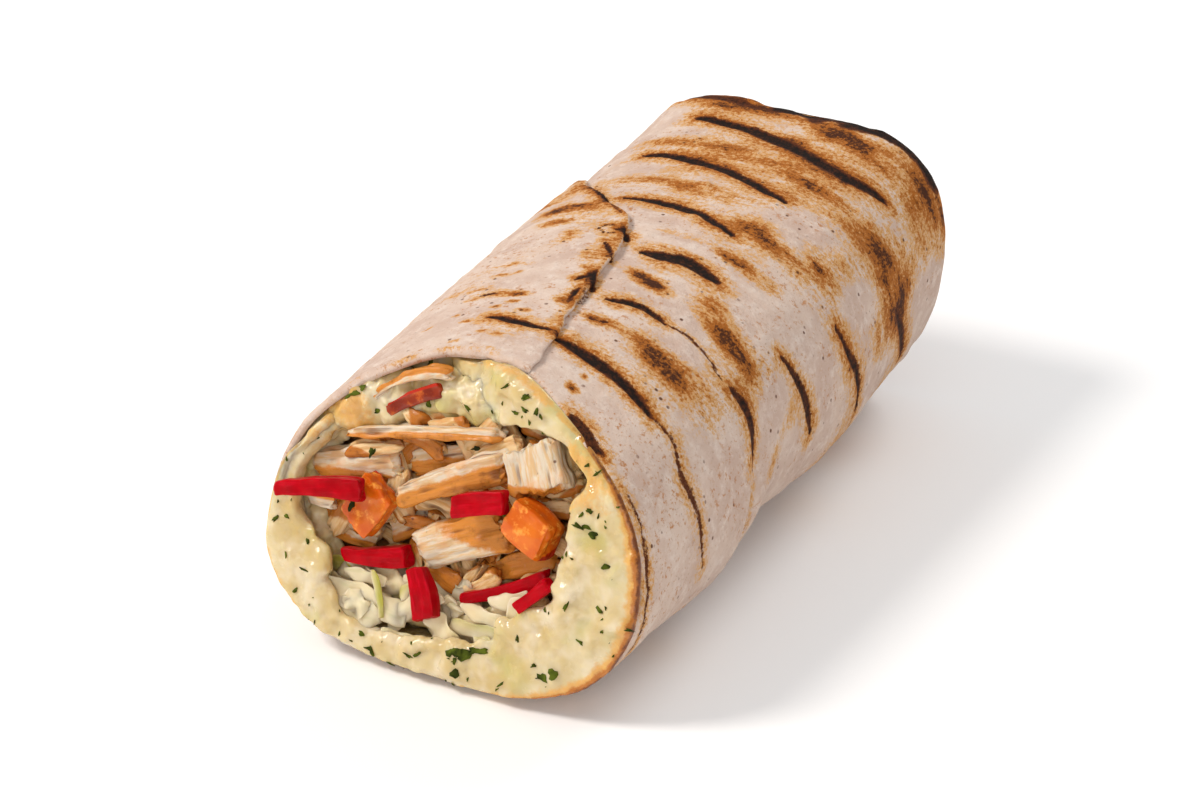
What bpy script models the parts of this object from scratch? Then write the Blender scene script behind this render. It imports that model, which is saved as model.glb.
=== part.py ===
"""Chicken shawarma pita: a pressed flatbread roll, shut at one end, whose mouth shows its filling.

Metres, +Z up. The roll lies along Y with the mouth at -Y, and the origin is the middle of its footprint.
The filling is placed in mouth coordinates: across to the right, in from the mouth, and up along it.
"""

import math

import bmesh
import bpy
import numpy as np
from mathutils import Matrix, Vector

MM = 0.001

# The roll, from the mouth through the middle to the shut end.
ROLL_LENGTH = 150 * MM
HALF_WIDTHS = (37.5 * MM, 38.3 * MM, 36.2 * MM)
HEIGHTS = (53.9 * MM, 57.3 * MM, 61.3 * MM)
SQUARENESS = 2.35
PRESSED_FLAT = 0.8 * MM
OVAL_SHARE = (-0.018, 0.0, -0.007)
SHOULDER_SHARE = (-0.042, 0.0, 0.033)
CORNER_SHARE = (0.017, 0.0, -0.006)
REST_MIDDLE = 3 * MM
REST_HALF_LENGTH = 62 * MM
REST_HALF_WIDTH = 11.5 * MM
REST_WAIST = 0.3 * MM
REST_CLEARANCE = 0.3 * MM
BREAD_THICKNESS = 1.6 * MM
MOUTH_LEAN = math.radians(15)
MOUTH_SCOOP = 8 * MM
MOUTH_SCOOP_ANGLE = math.radians(108)
END_ROUNDING = 2.5 * MM
END_TUCK = 1.2 * MM

# The loose edge of the outer layer: its angle round the roll against the distance from the mouth.
FLAP_THICKNESS = 1.3 * MM
FLAP_EDGE_PLACES = np.array((0, 15, 24, 33, 40, 49, 55, 62, 68, 74, 81, 94, 106, 125, 150)) * MM
FLAP_EDGE_DEGREES = (72, 77, 81, 84, 85, 88, 90.5, 92.5, 96, 102, 115, 132, 144, 173, 205)
FLAP_FADES_OVER = math.radians(115)

# Dents and swellings of the bread: place along the roll, angle in degrees, height, reach along and round.
BREAD_SWELLINGS = (
    (38 * MM, -38, 1.4 * MM, 13 * MM, 34),
    (60 * MM, -32, -2.2 * MM, 9 * MM, 30),
    (96 * MM, -25, 0.9 * MM, 18 * MM, 35),
    (22 * MM, 40, 0.8 * MM, 12 * MM, 25),
    (108 * MM, 120, -0.9 * MM, 12 * MM, 25),
    (128 * MM, 200, 0.9 * MM, 16 * MM, 40),
    (76 * MM, -38, -0.9 * MM, 14 * MM, 30),
    (0 * MM, -95, -1.9 * MM, 12 * MM, 50),
)

# The melted cheese: angle in degrees, width of the band, how far it stands out at the bread and at its
# inner edge, and how far it laps over the bread's cut edge, from 0 to 1.
CHEESE_BAND = (
    (0, 13.4, 2.0, 2.2, 1),
    (12, 12.2, 1.8, 1.8, 1),
    (22, 8.0, 1.6, 1.2, 1),
    (32, 2.6, 1.2, 0.8, 1),
    (44, 1.8, 1.2, 0.8, 1),
    (54, 2.8, 2.2, 1.6, 1),
    (64, 5.8, 3.6, 2.6, 1),
    (76, 7.2, 3.8, 3.0, 1),
    (88, 8.2, 2.2, 2.0, 0.8),
    (98, 9.2, -2.4, -1.2, 0.4),
    (112, 9.8, -4.4, -3.2, 0.1),
    (126, 10.0, -4.6, -3.8, 0),
    (138, 9.2, -4.6, -3.8, 0),
    (150, 4.8, -4.0, -3.4, 0.1),
    (162, 2.4, -1.4, -1.6, 0.5),
    (174, 1.8, 0.9, 0.4, 1),
    (183, 4.0, 1.4, 1.0, 1),
    (192, 7.6, 2.2, 1.6, 1),
    (200, 10.6, 2.2, 1.8, 1),
    (211, 6.4, 2.2, 1.8, 1),
    (224, 3.6, 2.0, 1.8, 1),
    (240, 3.4, 2.0, 2.0, 1),
    (256, 4.2, 2.2, 2.2, 1),
    (272, 5.2, 2.4, 2.4, 1),
    (288, 6.2, 2.6, 2.6, 1),
    (302, 8.2, 2.8, 2.6, 1),
    (318, 13.0, 2.8, 2.6, 1),
    (334, 15.0, 2.6, 2.4, 1),
    (347, 13.4, 2.4, 2.4, 1),
)
CHEESE_DEPTH = 9.5 * MM
CHEESE_GAP = 0.5 * MM
CHEESE_SETS_BREAD_BACK = 2.2 * MM

# Herb flakes on the cheese: millimetres across and up, length, width, and turn in degrees.
HERB_FLAKES = (
    (6.9, 8.6, 6.6, 2.6, 12),
    (5.6, 5.6, 3.6, 2.0, 75),
    (23.0, 8.1, 3.4, 2.2, 20),
    (6.6, 55.2, 2.4, 1.0, 10),
    (10.6, 54.4, 2.0, 1.0, 70),
    (13.1, 52.4, 2.2, 1.2, 120),
    (26.7, 35.2, 4.6, 1.8, 160),
    (31.0, 29.4, 2.0, 1.2, 40),
    (24.8, 21.5, 2.2, 1.0, 90),
    (31.4, 21.8, 1.8, 1.1, 10),
    (28.4, 15.6, 2.4, 0.9, 5),
    (-35.2, 22.6, 2.4, 1.1, 90),
    (-31.4, 17.0, 2.2, 1.0, 120),
    (-26.6, 14.8, 3.0, 1.0, 160),
    (-28.0, 20.0, 1.8, 1.0, 20),
    (-14.8, 6.0, 1.8, 1.2, 80),
    (-12.2, 3.6, 2.6, 1.3, 150),
    (-3.6, 5.2, 2.6, 0.9, 10),
    (14.4, 4.6, 1.8, 1.0, 50),
)
HERB_THICKNESS = 0.7 * MM

# Chicken, turnip and tomato in millimetres (across, in, up): two ends, width, thickness, roll in degrees,
# the share of the width left at the first end, and the bow of the middle.
CHICKEN = {
    "chicken_roof_slice": ((-20.8, 6.4, 47.6), (-6.4, 6.4, 55.0), 2.2, 2.8, 0, 0.7, 1.2),
    "chicken_thin_slice": ((-24.0, 6.6, 40.3), (5.2, 6.6, 46.0), 2.4, 5.2, 0, 0.8, 0.3),
    "chicken_torn_chunk": ((-31.4, 8.3, 32.6), (-14.6, 8.3, 36.8), 6.6, 5.6, 0, 0.7, 0.2),
    "chicken_wedge": ((3.6, 9.6, 42.2), (-12.9, 9.4, 36.2), 5.0, 4.0, 0, 0.6, -0.3),
    "chicken_long_slice": ((-12.0, 4.2, 31.4), (8.0, 4.8, 41.4), 5.8, 4.4, 8, 0.8, 0.2),
    "chicken_block": ((12.6, 5.8, 45.6), (15.8, 5.8, 38.1), 10.8, 7.2, 0, 0.95, 0),
    "chicken_frayed_bit": ((-15.8, 10.2, 23.6), (-9.2, 10.8, 28.2), 5.6, 4.0, 0, 0.9, 0),
    "chicken_middle_block": ((-7.8, 6.4, 22.4), (8.3, 7.0, 30.0), 8.8, 6.0, 0, 0.74, 0),
    "chicken_small_slice": ((3.2, 9.2, 19.4), (17.0, 9.4, 26.4), 4.2, 3.4, 0, 0.8, 0.3),
    "chicken_left_flake": ((-29.4, 9.6, 22.6), (-18.6, 9.8, 21.2), 5.0, 3.8, 0, 0.9, -0.3),
    "chicken_nub": ((-31.6, 6.4, 26.4), (-26.6, 6.6, 26.6), 2.8, 3.0, 0, 0.8, 0),
}
TURNIP = {
    "turnip_left_stick": ((-34.4, -1.2, 28.9), (-16.8, -1.0, 32.4), 4.2, 2.6, 0, 0.62, 0.4),
    "turnip_middle_stick": ((0.8, 0.2, 33.2), (10.8, 0.2, 36.2), 4.3, 2.6, 0, 0.9, 0.2),
    "turnip_low_left_stick": ((-22.2, 4.6, 18.2), (-9.2, 4.6, 20.8), 4.2, 3.0, 0, 0.6, -0.3),
    "turnip_upright_stick": ((-5.6, 1.4, 20.4), (-2.1, 0.8, 11.8), 4.7, 3.0, 0, 0.8, 0.3),
    "turnip_low_right_stick": ((1.7, 5.9, 15.5), (17.8, 6.0, 23.2), 2.8, 2.4, 0, 0.8, -0.4),
    "turnip_short_stick": ((15.5, 0.4, 18.5), (20.9, 0.4, 24.1), 2.4, 2.4, 0, 0.9, 0),
}
TOMATO = {
    "tomato_roof_slice": ((-17.8, 6.8, 45.4), (-7.6, 6.8, 51.4), 2.8, 2.6, 0, 0.8, 0.3),
    "tomato_left_chunk": ((-19.8, 3.2, 24.8), (-15.2, 3.2, 32.6), 7.8, 3.8, 0, 0.9, 0),
    "tomato_right_cube": ((11.6, 2.4, 34.0), (19.1, 2.4, 30.2), 7.2, 5.4, 0, 1.0, 0),
    "tomato_back_chunk": ((12.8, 10.8, 34.2), (19.8, 10.8, 35.2), 3.2, 2.8, 0, 0.9, 0),
}

# Cabbage shreds in millimetres (across, in, up): two ends, width, thickness, bow.
CABBAGE_SHREDS = (
    ((-25, 6.4, 13.0), (-15, 5.0, 14.6), 3.8, 1.5, 1.0),
    ((-21.6, 6.8, 10.6), (-11, 5.4, 11.0), 3.6, 1.6, -0.6),
    ((-17, 6.2, 15.4), (-8.6, 5.0, 14.4), 3.4, 1.6, 0.6),
    ((-20.6, 5.2, 14.8), (-18, 4.4, 10.0), 3.0, 1.4, 0.6),
    ((-13.4, 5.6, 14.4), (-12.6, 3.8, 9.6), 3.0, 1.4, -0.6),
    ((-11, 5.6, 10.2), (-1, 4.8, 10.6), 3.2, 1.5, 0.6),
    ((-9, 6.0, 13.0), (-1.4, 5.6, 12.0), 3.2, 1.5, 0.6),
    ((-0.6, 5.6, 10.4), (2.0, 4.0, 14.4), 3.2, 1.5, 0.6),
    ((2.4, 6.8, 13.2), (10.0, 3.8, 12.2), 3.2, 1.5, 0.8),
    ((2.6, 6.8, 10.8), (11.6, 5.4, 13.4), 2.8, 1.5, -0.6),
    ((10.4, 4.6, 17.0), (9.4, 3.9, 11.8), 2.8, 1.5, 0.6),
    ((4.2, 6.9, 12.3), (11.4, 5.8, 15.4), 2.2, 1.3, 0.4),
)
CABBAGE_MOUND = ((-5.0, 9.0, 11.6), (17.5, 3.6, 3.9))

FILLING_START = 13.0 * MM
FILLING_GAP = 1.2 * MM

BREAD_STATIONS = 22
BREAD_SIDES = 44
CHEESE_SIDES = 66
FILLING_SIDES = 32


def clear_scene():
    for old in list(bpy.data.objects):
        bpy.data.objects.remove(old)


def collection(name):
    made = bpy.data.collections.new(name)
    bpy.context.scene.collection.children.link(made)
    return made


def material(name, colour, roughness):
    """A Principled BSDF of one linear colour."""
    made = bpy.data.materials.new(name)
    made.use_nodes = True
    shader = made.node_tree.nodes["Principled BSDF"]
    shader.inputs["Base Color"].default_value = (*colour, 1)
    shader.inputs["Roughness"].default_value = roughness
    shader.inputs["Metallic"].default_value = 0
    return made


def along(values, share):
    """The quadratic through the values at the mouth, the middle and the shut end."""
    first, middle, last = values
    return (
        first * (1 - share) * (1 - 2 * share)
        + middle * 4 * share * (1 - share)
        + last * share * (2 * share - 1)
    )


def wall_radius(angle, share):
    """Distance from the roll's middle line to the bread's outside: a superellipse with low waves round it."""
    half_width = along(HALF_WIDTHS, share)
    half_height = along(HEIGHTS, share) / 2
    reach = (
        np.abs(np.cos(angle) / half_width) ** SQUARENESS
        + np.abs(np.sin(angle) / half_height) ** SQUARENESS
    ) ** (-1 / SQUARENESS)
    waves = (
        along(OVAL_SHARE, share) * np.cos(2 * angle)
        + along(SHOULDER_SHARE, share) * np.sin(3 * angle)
        + along(CORNER_SHARE, share) * np.cos(4 * angle)
    )
    radius = reach * (1 + waves)
    for place, degrees, height, reach_along, reach_round in BREAD_SWELLINGS:
        turn = np.angle(np.exp(1j * (angle - math.radians(degrees))))
        radius = radius + height * np.exp(
            -(((share * ROLL_LENGTH - place) / reach_along) ** 2)
            - (turn / math.radians(reach_round)) ** 2
        )
    return radius


def band_values(degrees):
    """The band's width, stand-out at the bread and at its inner edge, and lap over the edge, at angles."""
    table = np.array(CHEESE_BAND)
    places = np.append(table[:, 0], 360)
    low = np.searchsorted(places, degrees % 360, side="right") - 1
    share = (degrees % 360 - places[low]) / (places[low + 1] - places[low])
    share = share * share * (3 - 2 * share)
    first, last = table[low], table[(low + 1) % len(table)]
    width, outer, inner, lap = (first + (last - first) * share[:, None])[:, 1:].T
    return width * MM, outer * MM, inner * MM, lap


def roll_points(angle, depth, inset, shrink=1.0):
    """Points of the roll at angles round it and a depth behind its mouth, inset from the bread's outside."""
    lap = band_values(np.degrees(angle))[3]
    depth = depth + CHEESE_SETS_BREAD_BACK * lap * np.clip(1 - depth / (30 * MM), 0, 1)
    share = np.clip(depth / ROLL_LENGTH, 0, 1)
    middle = along(HEIGHTS, share) / 2
    radius = (wall_radius(angle, share) - inset) * shrink
    x = radius * np.cos(angle)
    z = middle - PRESSED_FLAT + radius * np.sin(angle)
    z = np.maximum(z, np.where(shrink > 0.9, np.maximum(inset, 0), -1))
    lean = z * math.tan(MOUTH_LEAN)
    scoop = MOUTH_SCOOP * np.clip(np.cos(angle - MOUTH_SCOOP_ANGLE), 0, 1) ** 2
    y = depth + (lean + scoop) * (1 - share) - ROLL_LENGTH / 2
    return np.stack(np.broadcast_arrays(x, y, z), axis=-1)


def flap_angle(depth):
    return np.radians(np.interp(depth, FLAP_EDGE_PLACES, FLAP_EDGE_DEGREES))


def loft_mesh(name, rings, poles=(None, None), ring_loop=False):
    """Quads between rings of points, with a fan to a pole at either end, or the last ring joined to the first."""
    rings = np.asarray(rings)
    count, sides = rings.shape[:2]
    spots = [tuple(p) for p in rings.reshape(-1, 3)]
    faces = []
    for i in range(count if ring_loop else count - 1):
        for j in range(sides):
            a, b = i * sides, (i + 1) % count * sides
            k = (j + 1) % sides
            faces.append((a + j, a + k, b + k, b + j))
    for pole, start, step in ((poles[0], 0, 1), (poles[1], (count - 1) * sides, -1)):
        if pole is None:
            continue
        spots.append(tuple(pole))
        for j in range(sides):
            corner = (start + (j + 1) % sides, start + j, len(spots) - 1)
            faces.append(corner[::step])
    mesh = bpy.data.meshes.new(name)
    mesh.from_pydata(spots, [], faces)
    return mesh


def add_object(name, mesh, finish, group, parent=None, matrix=None):
    """A named object with outward normals and its material."""
    shape = bmesh.new()
    shape.from_mesh(mesh)
    bmesh.ops.recalc_face_normals(shape, faces=shape.faces)
    shape.to_mesh(mesh)
    shape.free()
    mesh.shade_smooth()
    mesh.set_sharp_from_angle(angle=math.radians(35))
    made = bpy.data.objects.new(name, mesh)
    made.data.materials.append(finish)
    made.parent = parent
    if matrix is not None:
        made.matrix_local = matrix
    group.objects.link(made)
    return made


def press_flat(points):
    """Presses a ring's underside on the floor between two straight edges, and keeps it just clear beyond them."""
    place = (points[:, 1].min() - REST_MIDDLE) / REST_HALF_LENGTH
    under = points[:, 2] < 5 * MM
    half_width = 0 if abs(place) > 1 else REST_HALF_WIDTH - REST_WAIST * (1 - place * place)
    for side in (-half_width, half_width):
        if half_width:
            nearest = np.argmin(np.abs(points[:, 0] - side) + ~under)
            points[nearest, 0] = side
    clear = under & (np.abs(points[:, 0]) > half_width + 0.001 * MM)
    points[clear, 2] = np.maximum(points[clear, 2], REST_CLEARANCE)
    points[under & ~clear, 2] = 0


def make_flatbread(group, finish):
    """The outer wall with its loose edge, the tucked shut end, and the wall's inside back to the mouth."""
    straight = np.linspace(0, 1, BREAD_STATIONS) ** 0.9 * (ROLL_LENGTH - END_ROUNDING)
    turns = np.radians((30, 60, 90))
    mean_radius = sum(HALF_WIDTHS) / 3
    round_off = END_ROUNDING * (1 - np.cos(turns)) / mean_radius
    outer = [(depth, 1.0) for depth in straight]
    outer += [
        (ROLL_LENGTH - END_ROUNDING * (1 - math.sin(turn)), 1 - cut)
        for turn, cut in zip(turns, round_off)
    ]
    end_shares = (0.72, 0.5, 0.28)
    outer += [(ROLL_LENGTH, share) for share in end_shares]
    steps = np.linspace(0, 2 * np.pi - 0.02, BREAD_SIDES)

    def ring(depth, shrink, inset):
        angles = flap_angle(0 if inset else min(depth, ROLL_LENGTH)) + steps
        height = np.zeros(BREAD_SIDES)
        if inset == 0:
            fade = np.clip(1 - steps / FLAP_FADES_OVER, 0, 1)
            near_mouth = np.interp(depth, (0, 40 * MM, 110 * MM, 145 * MM), (0.5, 1, 1, 0))
            height = FLAP_THICKNESS * near_mouth * fade * (3 - 2 * fade) * fade
            height[-1] = 0
        points = roll_points(angles, depth, inset - height, shrink)
        if shrink < 0.95:
            tuck = END_TUCK * np.tanh((points[:, 2] - 30 * MM + 0.35 * points[:, 0]) / (3 * MM))
            points[:, 1] += tuck * (1 - shrink)
        if inset:
            points[:, 1] = np.minimum(points[:, 1], ROLL_LENGTH / 2 - inset)
        elif shrink > 0.9:
            press_flat(points)
        return points

    rings = [ring(depth, shrink, 0) for depth, shrink in outer]
    middle = Vector((0, ROLL_LENGTH / 2, HEIGHTS[2] / 2))
    inner_depths = np.linspace(1, 0, 12) ** 1.2 * (ROLL_LENGTH - 2 * BREAD_THICKNESS)
    inner = [ring(ROLL_LENGTH - BREAD_THICKNESS, share, BREAD_THICKNESS) for share in (0.5, 0.85)]
    inner += [ring(depth, 1.0, BREAD_THICKNESS) for depth in inner_depths]
    outside = loft_mesh("outside", rings, (None, middle))
    inside = loft_mesh("inside", inner, (middle - Vector((0, BREAD_THICKNESS, 0)), None))
    shape = bmesh.new()
    shape.from_mesh(outside)
    first = [shape.verts[:][j] for j in range(BREAD_SIDES)]
    count = len(shape.verts)
    shape.from_mesh(inside)
    shape.verts.ensure_lookup_table()
    start = count + (len(inner) - 1) * BREAD_SIDES
    for j in range(BREAD_SIDES):
        k = (j + 1) % BREAD_SIDES
        shape.faces.new((first[j], first[k], shape.verts[start + k], shape.verts[start + j]))
    mesh = bpy.data.meshes.new("flatbread")
    shape.to_mesh(mesh)
    shape.free()
    return add_object("flatbread", mesh, finish, group)


def cheese_rings(angles):
    """Lines of the cheese round the mouth, from its back beside the bread, over its front, to its back inside."""
    width, outer, inner, lap = band_values(np.degrees(angles))
    wall = BREAD_THICKNESS + CHEESE_GAP
    edge = wall + (0.3 * MM - wall) * np.clip(2 * lap - 1, 0, 1)
    side = -outer + 0.8 * MM + (outer - 0.8 * MM - CHEESE_GAP) * np.clip(2 * lap, 0, 1)
    front = np.minimum(-outer, side - 0.3 * MM)
    lumps = 0.35 * MM * np.sin(9 * angles) + 0.25 * MM * np.sin(17 * angles + 1)
    lumps = lumps * np.clip(width / (6 * MM), 0, 1)
    swell = 0.3 * MM * np.sin(13 * angles + 2) * np.clip(width / (6 * MM), 0, 1)
    depth = CHEESE_DEPTH + np.maximum(0, -outer - 3.6 * MM)
    lines = (
        (wall, depth),
        (wall, (depth + side) / 2),
        (wall, side + 0.05 * MM + 0.25 * MM * (1 - lap)),
        (edge, side),
        (edge + 0.5 * MM, side + (front - side) * 0.7),
        (edge * 0.7 + (wall + width) * 0.3, front + lumps * 0.4),
        (edge * 0.4 + (wall + width) * 0.6, -(outer + inner) / 2 - lumps),
        (wall + 0.85 * width, -inner + swell),
        (wall + width + swell, -inner + 1.0 * MM),
        (wall + width * 0.88 + swell, -inner + 2.4 * MM),
        (wall + width * 0.4 + 0.4 * MM, (depth - inner) / 2 + 0.8 * MM),
        (wall + width * 0.2 + 0.6 * MM, depth + 0.4 * MM),
    )
    return [roll_points(angles, depth, inset) for inset, depth in lines]


def make_cheese(group, mouth, finish, helpers):
    """The ring of melted cheese inside the mouth, with the larger herb flakes fused to its front."""
    angles = np.linspace(0, 2 * np.pi, CHEESE_SIDES, endpoint=False)
    mesh = loft_mesh("melted_cheese", cheese_rings(angles), ring_loop=True)
    cheese = add_object("melted_cheese", mesh, finish, group)
    bpy.context.view_layer.update()
    to_mouth = mouth.matrix_world
    inwards = to_mouth.to_3x3() @ Vector((0, 1, 0))
    for number, (across, up, length, width, turn) in enumerate(HERB_FLAKES):
        start = to_mouth @ Vector((across * MM, -20 * MM, up * MM))
        hit, spot, normal, _ = cheese.ray_cast(start, inwards)
        if not hit:
            continue
        shape = bmesh.new()
        bmesh.ops.create_cone(shape, cap_ends=True, cap_tris=True, segments=6, radius1=1, radius2=0.8, depth=2)
        for vertex in shape.verts:
            ragged = 1 + 0.18 * math.sin(7 * vertex.co.x + 5 * vertex.co.y + number)
            vertex.co.x *= length * MM / 2 * ragged
            vertex.co.y *= width * MM / 2 * ragged
            vertex.co.z *= HERB_THICKNESS / 2
        mesh = bpy.data.meshes.new(f"flake_{number}")
        shape.to_mesh(mesh)
        shape.free()
        facing = normal.to_track_quat("Z", "Y").to_matrix().to_4x4()
        placed = Matrix.Translation(spot) @ facing @ Matrix.Rotation(math.radians(turn), 4, "Z")
        add_object(f"flake_{number}", mesh, finish, helpers, None, placed)
    fuse(cheese, helpers)


def mouth_matrix(start, end, roll):
    """Places a piece's own X along two points in the mouth, and its Z out of the mouth, then rolls it."""
    first, last = Vector(start) * MM, Vector(end) * MM
    lengthways = (last - first).normalized()
    outwards = Vector((0, -1, 0))
    facing = (outwards - lengthways * outwards.dot(lengthways)).normalized()
    sideways = facing.cross(lengthways)
    frame = Matrix((lengthways, sideways, facing)).transposed().to_4x4()
    return Matrix.Translation((first + last) / 2) @ frame @ Matrix.Rotation(math.radians(roll), 4, "X")


def cut_block(name, spec, cuts, rounding, fibre, seed):
    """A cube cut into a grid, rounded, tapered, bowed, slanted at its ends and ridged along its grain."""
    start, end, width, thickness, _, tip, bow = spec
    length = (Vector(end) - Vector(start)).length
    size = np.array((length, width, thickness)) * MM / 2
    shape = bmesh.new()
    bmesh.ops.create_cube(shape, size=2)
    bmesh.ops.subdivide_edges(shape, edges=shape.edges, cuts=cuts, use_grid_fill=True)
    grid = np.array([v.co for v in shape.verts])
    draws = np.random.default_rng(seed)
    phase = draws.uniform(0, 2 * np.pi, 6)
    slant = draws.uniform(-1, 1, 2)
    reach = (np.abs(grid) ** rounding).sum(axis=1) ** (1 / rounding)
    form = grid / reach[:, None] ** 0.6
    taper = tip + (1 - tip) * (form[:, 0] + 1) / 2
    lengthways = form[:, 0].copy()
    form[:, 1] *= taper
    form[:, 2] *= 0.6 + 0.4 * taper
    ridge = fibre * np.sin(4 * form[:, 1] + 3 * form[:, 2] + phase[2])
    form[:, 1] *= 1 + ridge + fibre * np.sin(2.6 * lengthways + phase[0])
    form[:, 2] *= 1 + ridge + fibre * np.sin(3.1 * lengthways + phase[1])
    form[:, 0] *= 1 + 0.5 * ridge * np.abs(lengthways)
    placed = form * size
    ends = np.abs(lengthways) ** 3 * 0.25
    placed[:, 0] += ends * (slant[0] * placed[:, 1] + slant[1] * placed[:, 2])
    placed[:, 1] += bow * MM * (1 - 1.5 * lengthways ** 2)
    for vertex, spot in zip(shape.verts, placed):
        vertex.co = spot
    mesh = bpy.data.meshes.new(name)
    shape.to_mesh(mesh)
    shape.free()
    return mesh


def make_pieces(group, mouth, finish, specs, cuts, rounding, fibre):
    for number, (name, spec) in enumerate(specs.items()):
        mesh = cut_block(name, spec, cuts, rounding, fibre, seed=number)
        add_object(name, mesh, finish, group, mouth, mouth_matrix(spec[0], spec[1], spec[4]))


def shred_mesh(name, spec):
    """A bowed strip with a lens-like cross-section and drawn-in ends."""
    start, end, width, thickness, bow = spec
    length = (Vector(end) - Vector(start)).length
    along_it = np.linspace(-1, 1, 6)
    round_it = np.linspace(0, 2 * np.pi, 6, endpoint=False)
    rings = []
    for share in along_it:
        swell = 0.45 + 0.55 * math.sqrt(1 - share * share * 0.9)
        ring = np.zeros((len(round_it), 3))
        ring[:, 0] = share * length / 2
        ring[:, 1] = width / 2 * swell * np.cos(round_it) + bow * (1 - share * share)
        ring[:, 2] = thickness / 2 * swell * np.sin(round_it) + 0.3 * bow * (1 - share * share)
        rings.append(ring * MM)
    ends = ((-length / 2 * MM, 0, 0), (length / 2 * MM, 0, 0))
    return loft_mesh(name, rings, ends)


def make_cabbage(group, mouth, finish, helpers):
    """A mound with the shreds that show fused on it by one union."""
    centre, half_sizes = CABBAGE_MOUND
    shape = bmesh.new()
    bmesh.ops.create_uvsphere(shape, u_segments=16, v_segments=8, radius=1)
    for vertex in shape.verts:
        bump = 1 + 0.06 * math.sin(5 * vertex.co.x + 4 * vertex.co.z)
        vertex.co = Vector(a * b * bump * MM for a, b in zip(vertex.co, half_sizes))
    mesh = bpy.data.meshes.new("cabbage_heap")
    shape.to_mesh(mesh)
    shape.free()
    heap = add_object("cabbage_heap", mesh, finish, group, mouth, Matrix.Translation(Vector(centre) * MM))
    for number, spec in enumerate(CABBAGE_SHREDS):
        name = f"shred_{number}"
        add_object(name, shred_mesh(name, spec), finish, helpers, mouth, mouth_matrix(spec[0], spec[1], 0))
    fuse(heap, helpers)


def fuse(target, helpers):
    """Joins the helpers to the target, writes the result into its mesh, and removes the helpers."""
    join = target.modifiers.new("join", "BOOLEAN")
    join.operation = "UNION"
    join.operand_type = "COLLECTION"
    join.collection = helpers
    join.solver = "MANIFOLD"
    bpy.context.view_layer.update()
    graph = bpy.context.evaluated_depsgraph_get()
    joined = bpy.data.meshes.new_from_object(target.evaluated_get(graph))
    joined.shade_smooth()
    joined.set_sharp_from_angle(angle=math.radians(30))
    target.modifiers.clear()
    target.data = joined
    for helper in list(helpers.objects):
        bpy.data.objects.remove(helper)


def make_filling(group, finish):
    """The packed filling behind the pieces that show, out to the bread all round."""
    angles = np.linspace(0, 2 * np.pi, FILLING_SIDES, endpoint=False)
    inset = BREAD_THICKNESS + FILLING_GAP
    depths = np.linspace(FILLING_START, ROLL_LENGTH - BREAD_THICKNESS - 6 * MM, 9)
    face = [(FILLING_START + 1.2 * MM, 0.4), (FILLING_START + 0.4 * MM, 0.75)]
    rings = []
    for depth, shrink in face:
        ring = roll_points(angles, depth, inset, shrink)
        ring[:, 1] += 0.7 * MM * np.sin(3 * angles + 9 * shrink)
        rings.append(ring)
    rings += [roll_points(angles, depth, inset, 0.97 if depth == depths[0] else 1.0) for depth in depths]
    rings.append(roll_points(angles, ROLL_LENGTH - BREAD_THICKNESS - 2 * MM, inset, 0.9))
    ends = [rings[0].mean(axis=0), rings[-1].mean(axis=0)]
    mesh = loft_mesh("filling_core", rings, ends)
    return add_object("filling_core", mesh, finish, group)


def main():
    clear_scene()
    group = collection("chicken_shawarma_pita")
    helpers = collection("helpers")
    mouth = bpy.data.objects.new("mouth", None)
    mouth.location = (0, -ROLL_LENGTH / 2, 0)
    mouth.rotation_euler = (-MOUTH_LEAN, 0, 0)
    group.objects.link(mouth)
    make_flatbread(group, material("flatbread", (0.76, 0.63, 0.51), 0.85))
    make_cheese(group, mouth, material("melted_cheese", (0.84, 0.74, 0.44), 0.35), helpers)
    make_filling(group, material("packed_chicken", (0.36, 0.17, 0.07), 0.6))
    make_pieces(group, mouth, material("chicken", (0.80, 0.55, 0.30), 0.5), CHICKEN, 4, 6, 0.06)
    make_pieces(group, mouth, material("pickled_turnip", (0.62, 0.01, 0.04), 0.3), TURNIP, 2, 9, 0.03)
    make_pieces(group, mouth, material("tomato", (0.72, 0.13, 0.03), 0.25), TOMATO, 2, 9, 0.03)
    make_cabbage(group, mouth, material("cabbage", (0.80, 0.74, 0.52), 0.35), helpers)


main()
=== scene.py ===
"""Looks of a chicken shawarma pita: a grilled flatbread roll whose open end shows its filling.

Run as a script it registers its operators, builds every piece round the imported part, and adds the stage.
"""

import math

import bpy
import numpy as np
from mathutils import Matrix, Vector


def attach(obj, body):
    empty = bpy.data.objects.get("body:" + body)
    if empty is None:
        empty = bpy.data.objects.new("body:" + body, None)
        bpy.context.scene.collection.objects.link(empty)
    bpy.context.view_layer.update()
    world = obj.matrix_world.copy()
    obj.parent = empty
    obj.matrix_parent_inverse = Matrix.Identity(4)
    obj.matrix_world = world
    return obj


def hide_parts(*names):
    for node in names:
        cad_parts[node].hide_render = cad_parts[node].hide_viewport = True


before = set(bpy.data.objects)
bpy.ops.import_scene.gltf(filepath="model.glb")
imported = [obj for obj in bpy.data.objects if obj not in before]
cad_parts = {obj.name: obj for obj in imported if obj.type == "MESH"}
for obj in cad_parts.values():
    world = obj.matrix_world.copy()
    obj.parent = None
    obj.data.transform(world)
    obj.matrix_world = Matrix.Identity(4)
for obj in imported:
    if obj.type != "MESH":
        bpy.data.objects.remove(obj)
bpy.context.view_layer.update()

bl_info = {
    "name": "Chicken shawarma pita",
    "version": (1, 0, 0),
    "blender": (4, 5, 0),
    "location": "View3D > Sidebar > Shawarma",
    "description": "Builds the bread, cheese, filling and studio of a chicken shawarma pita",
    "category": "Object",
}

MM = 0.001
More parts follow.
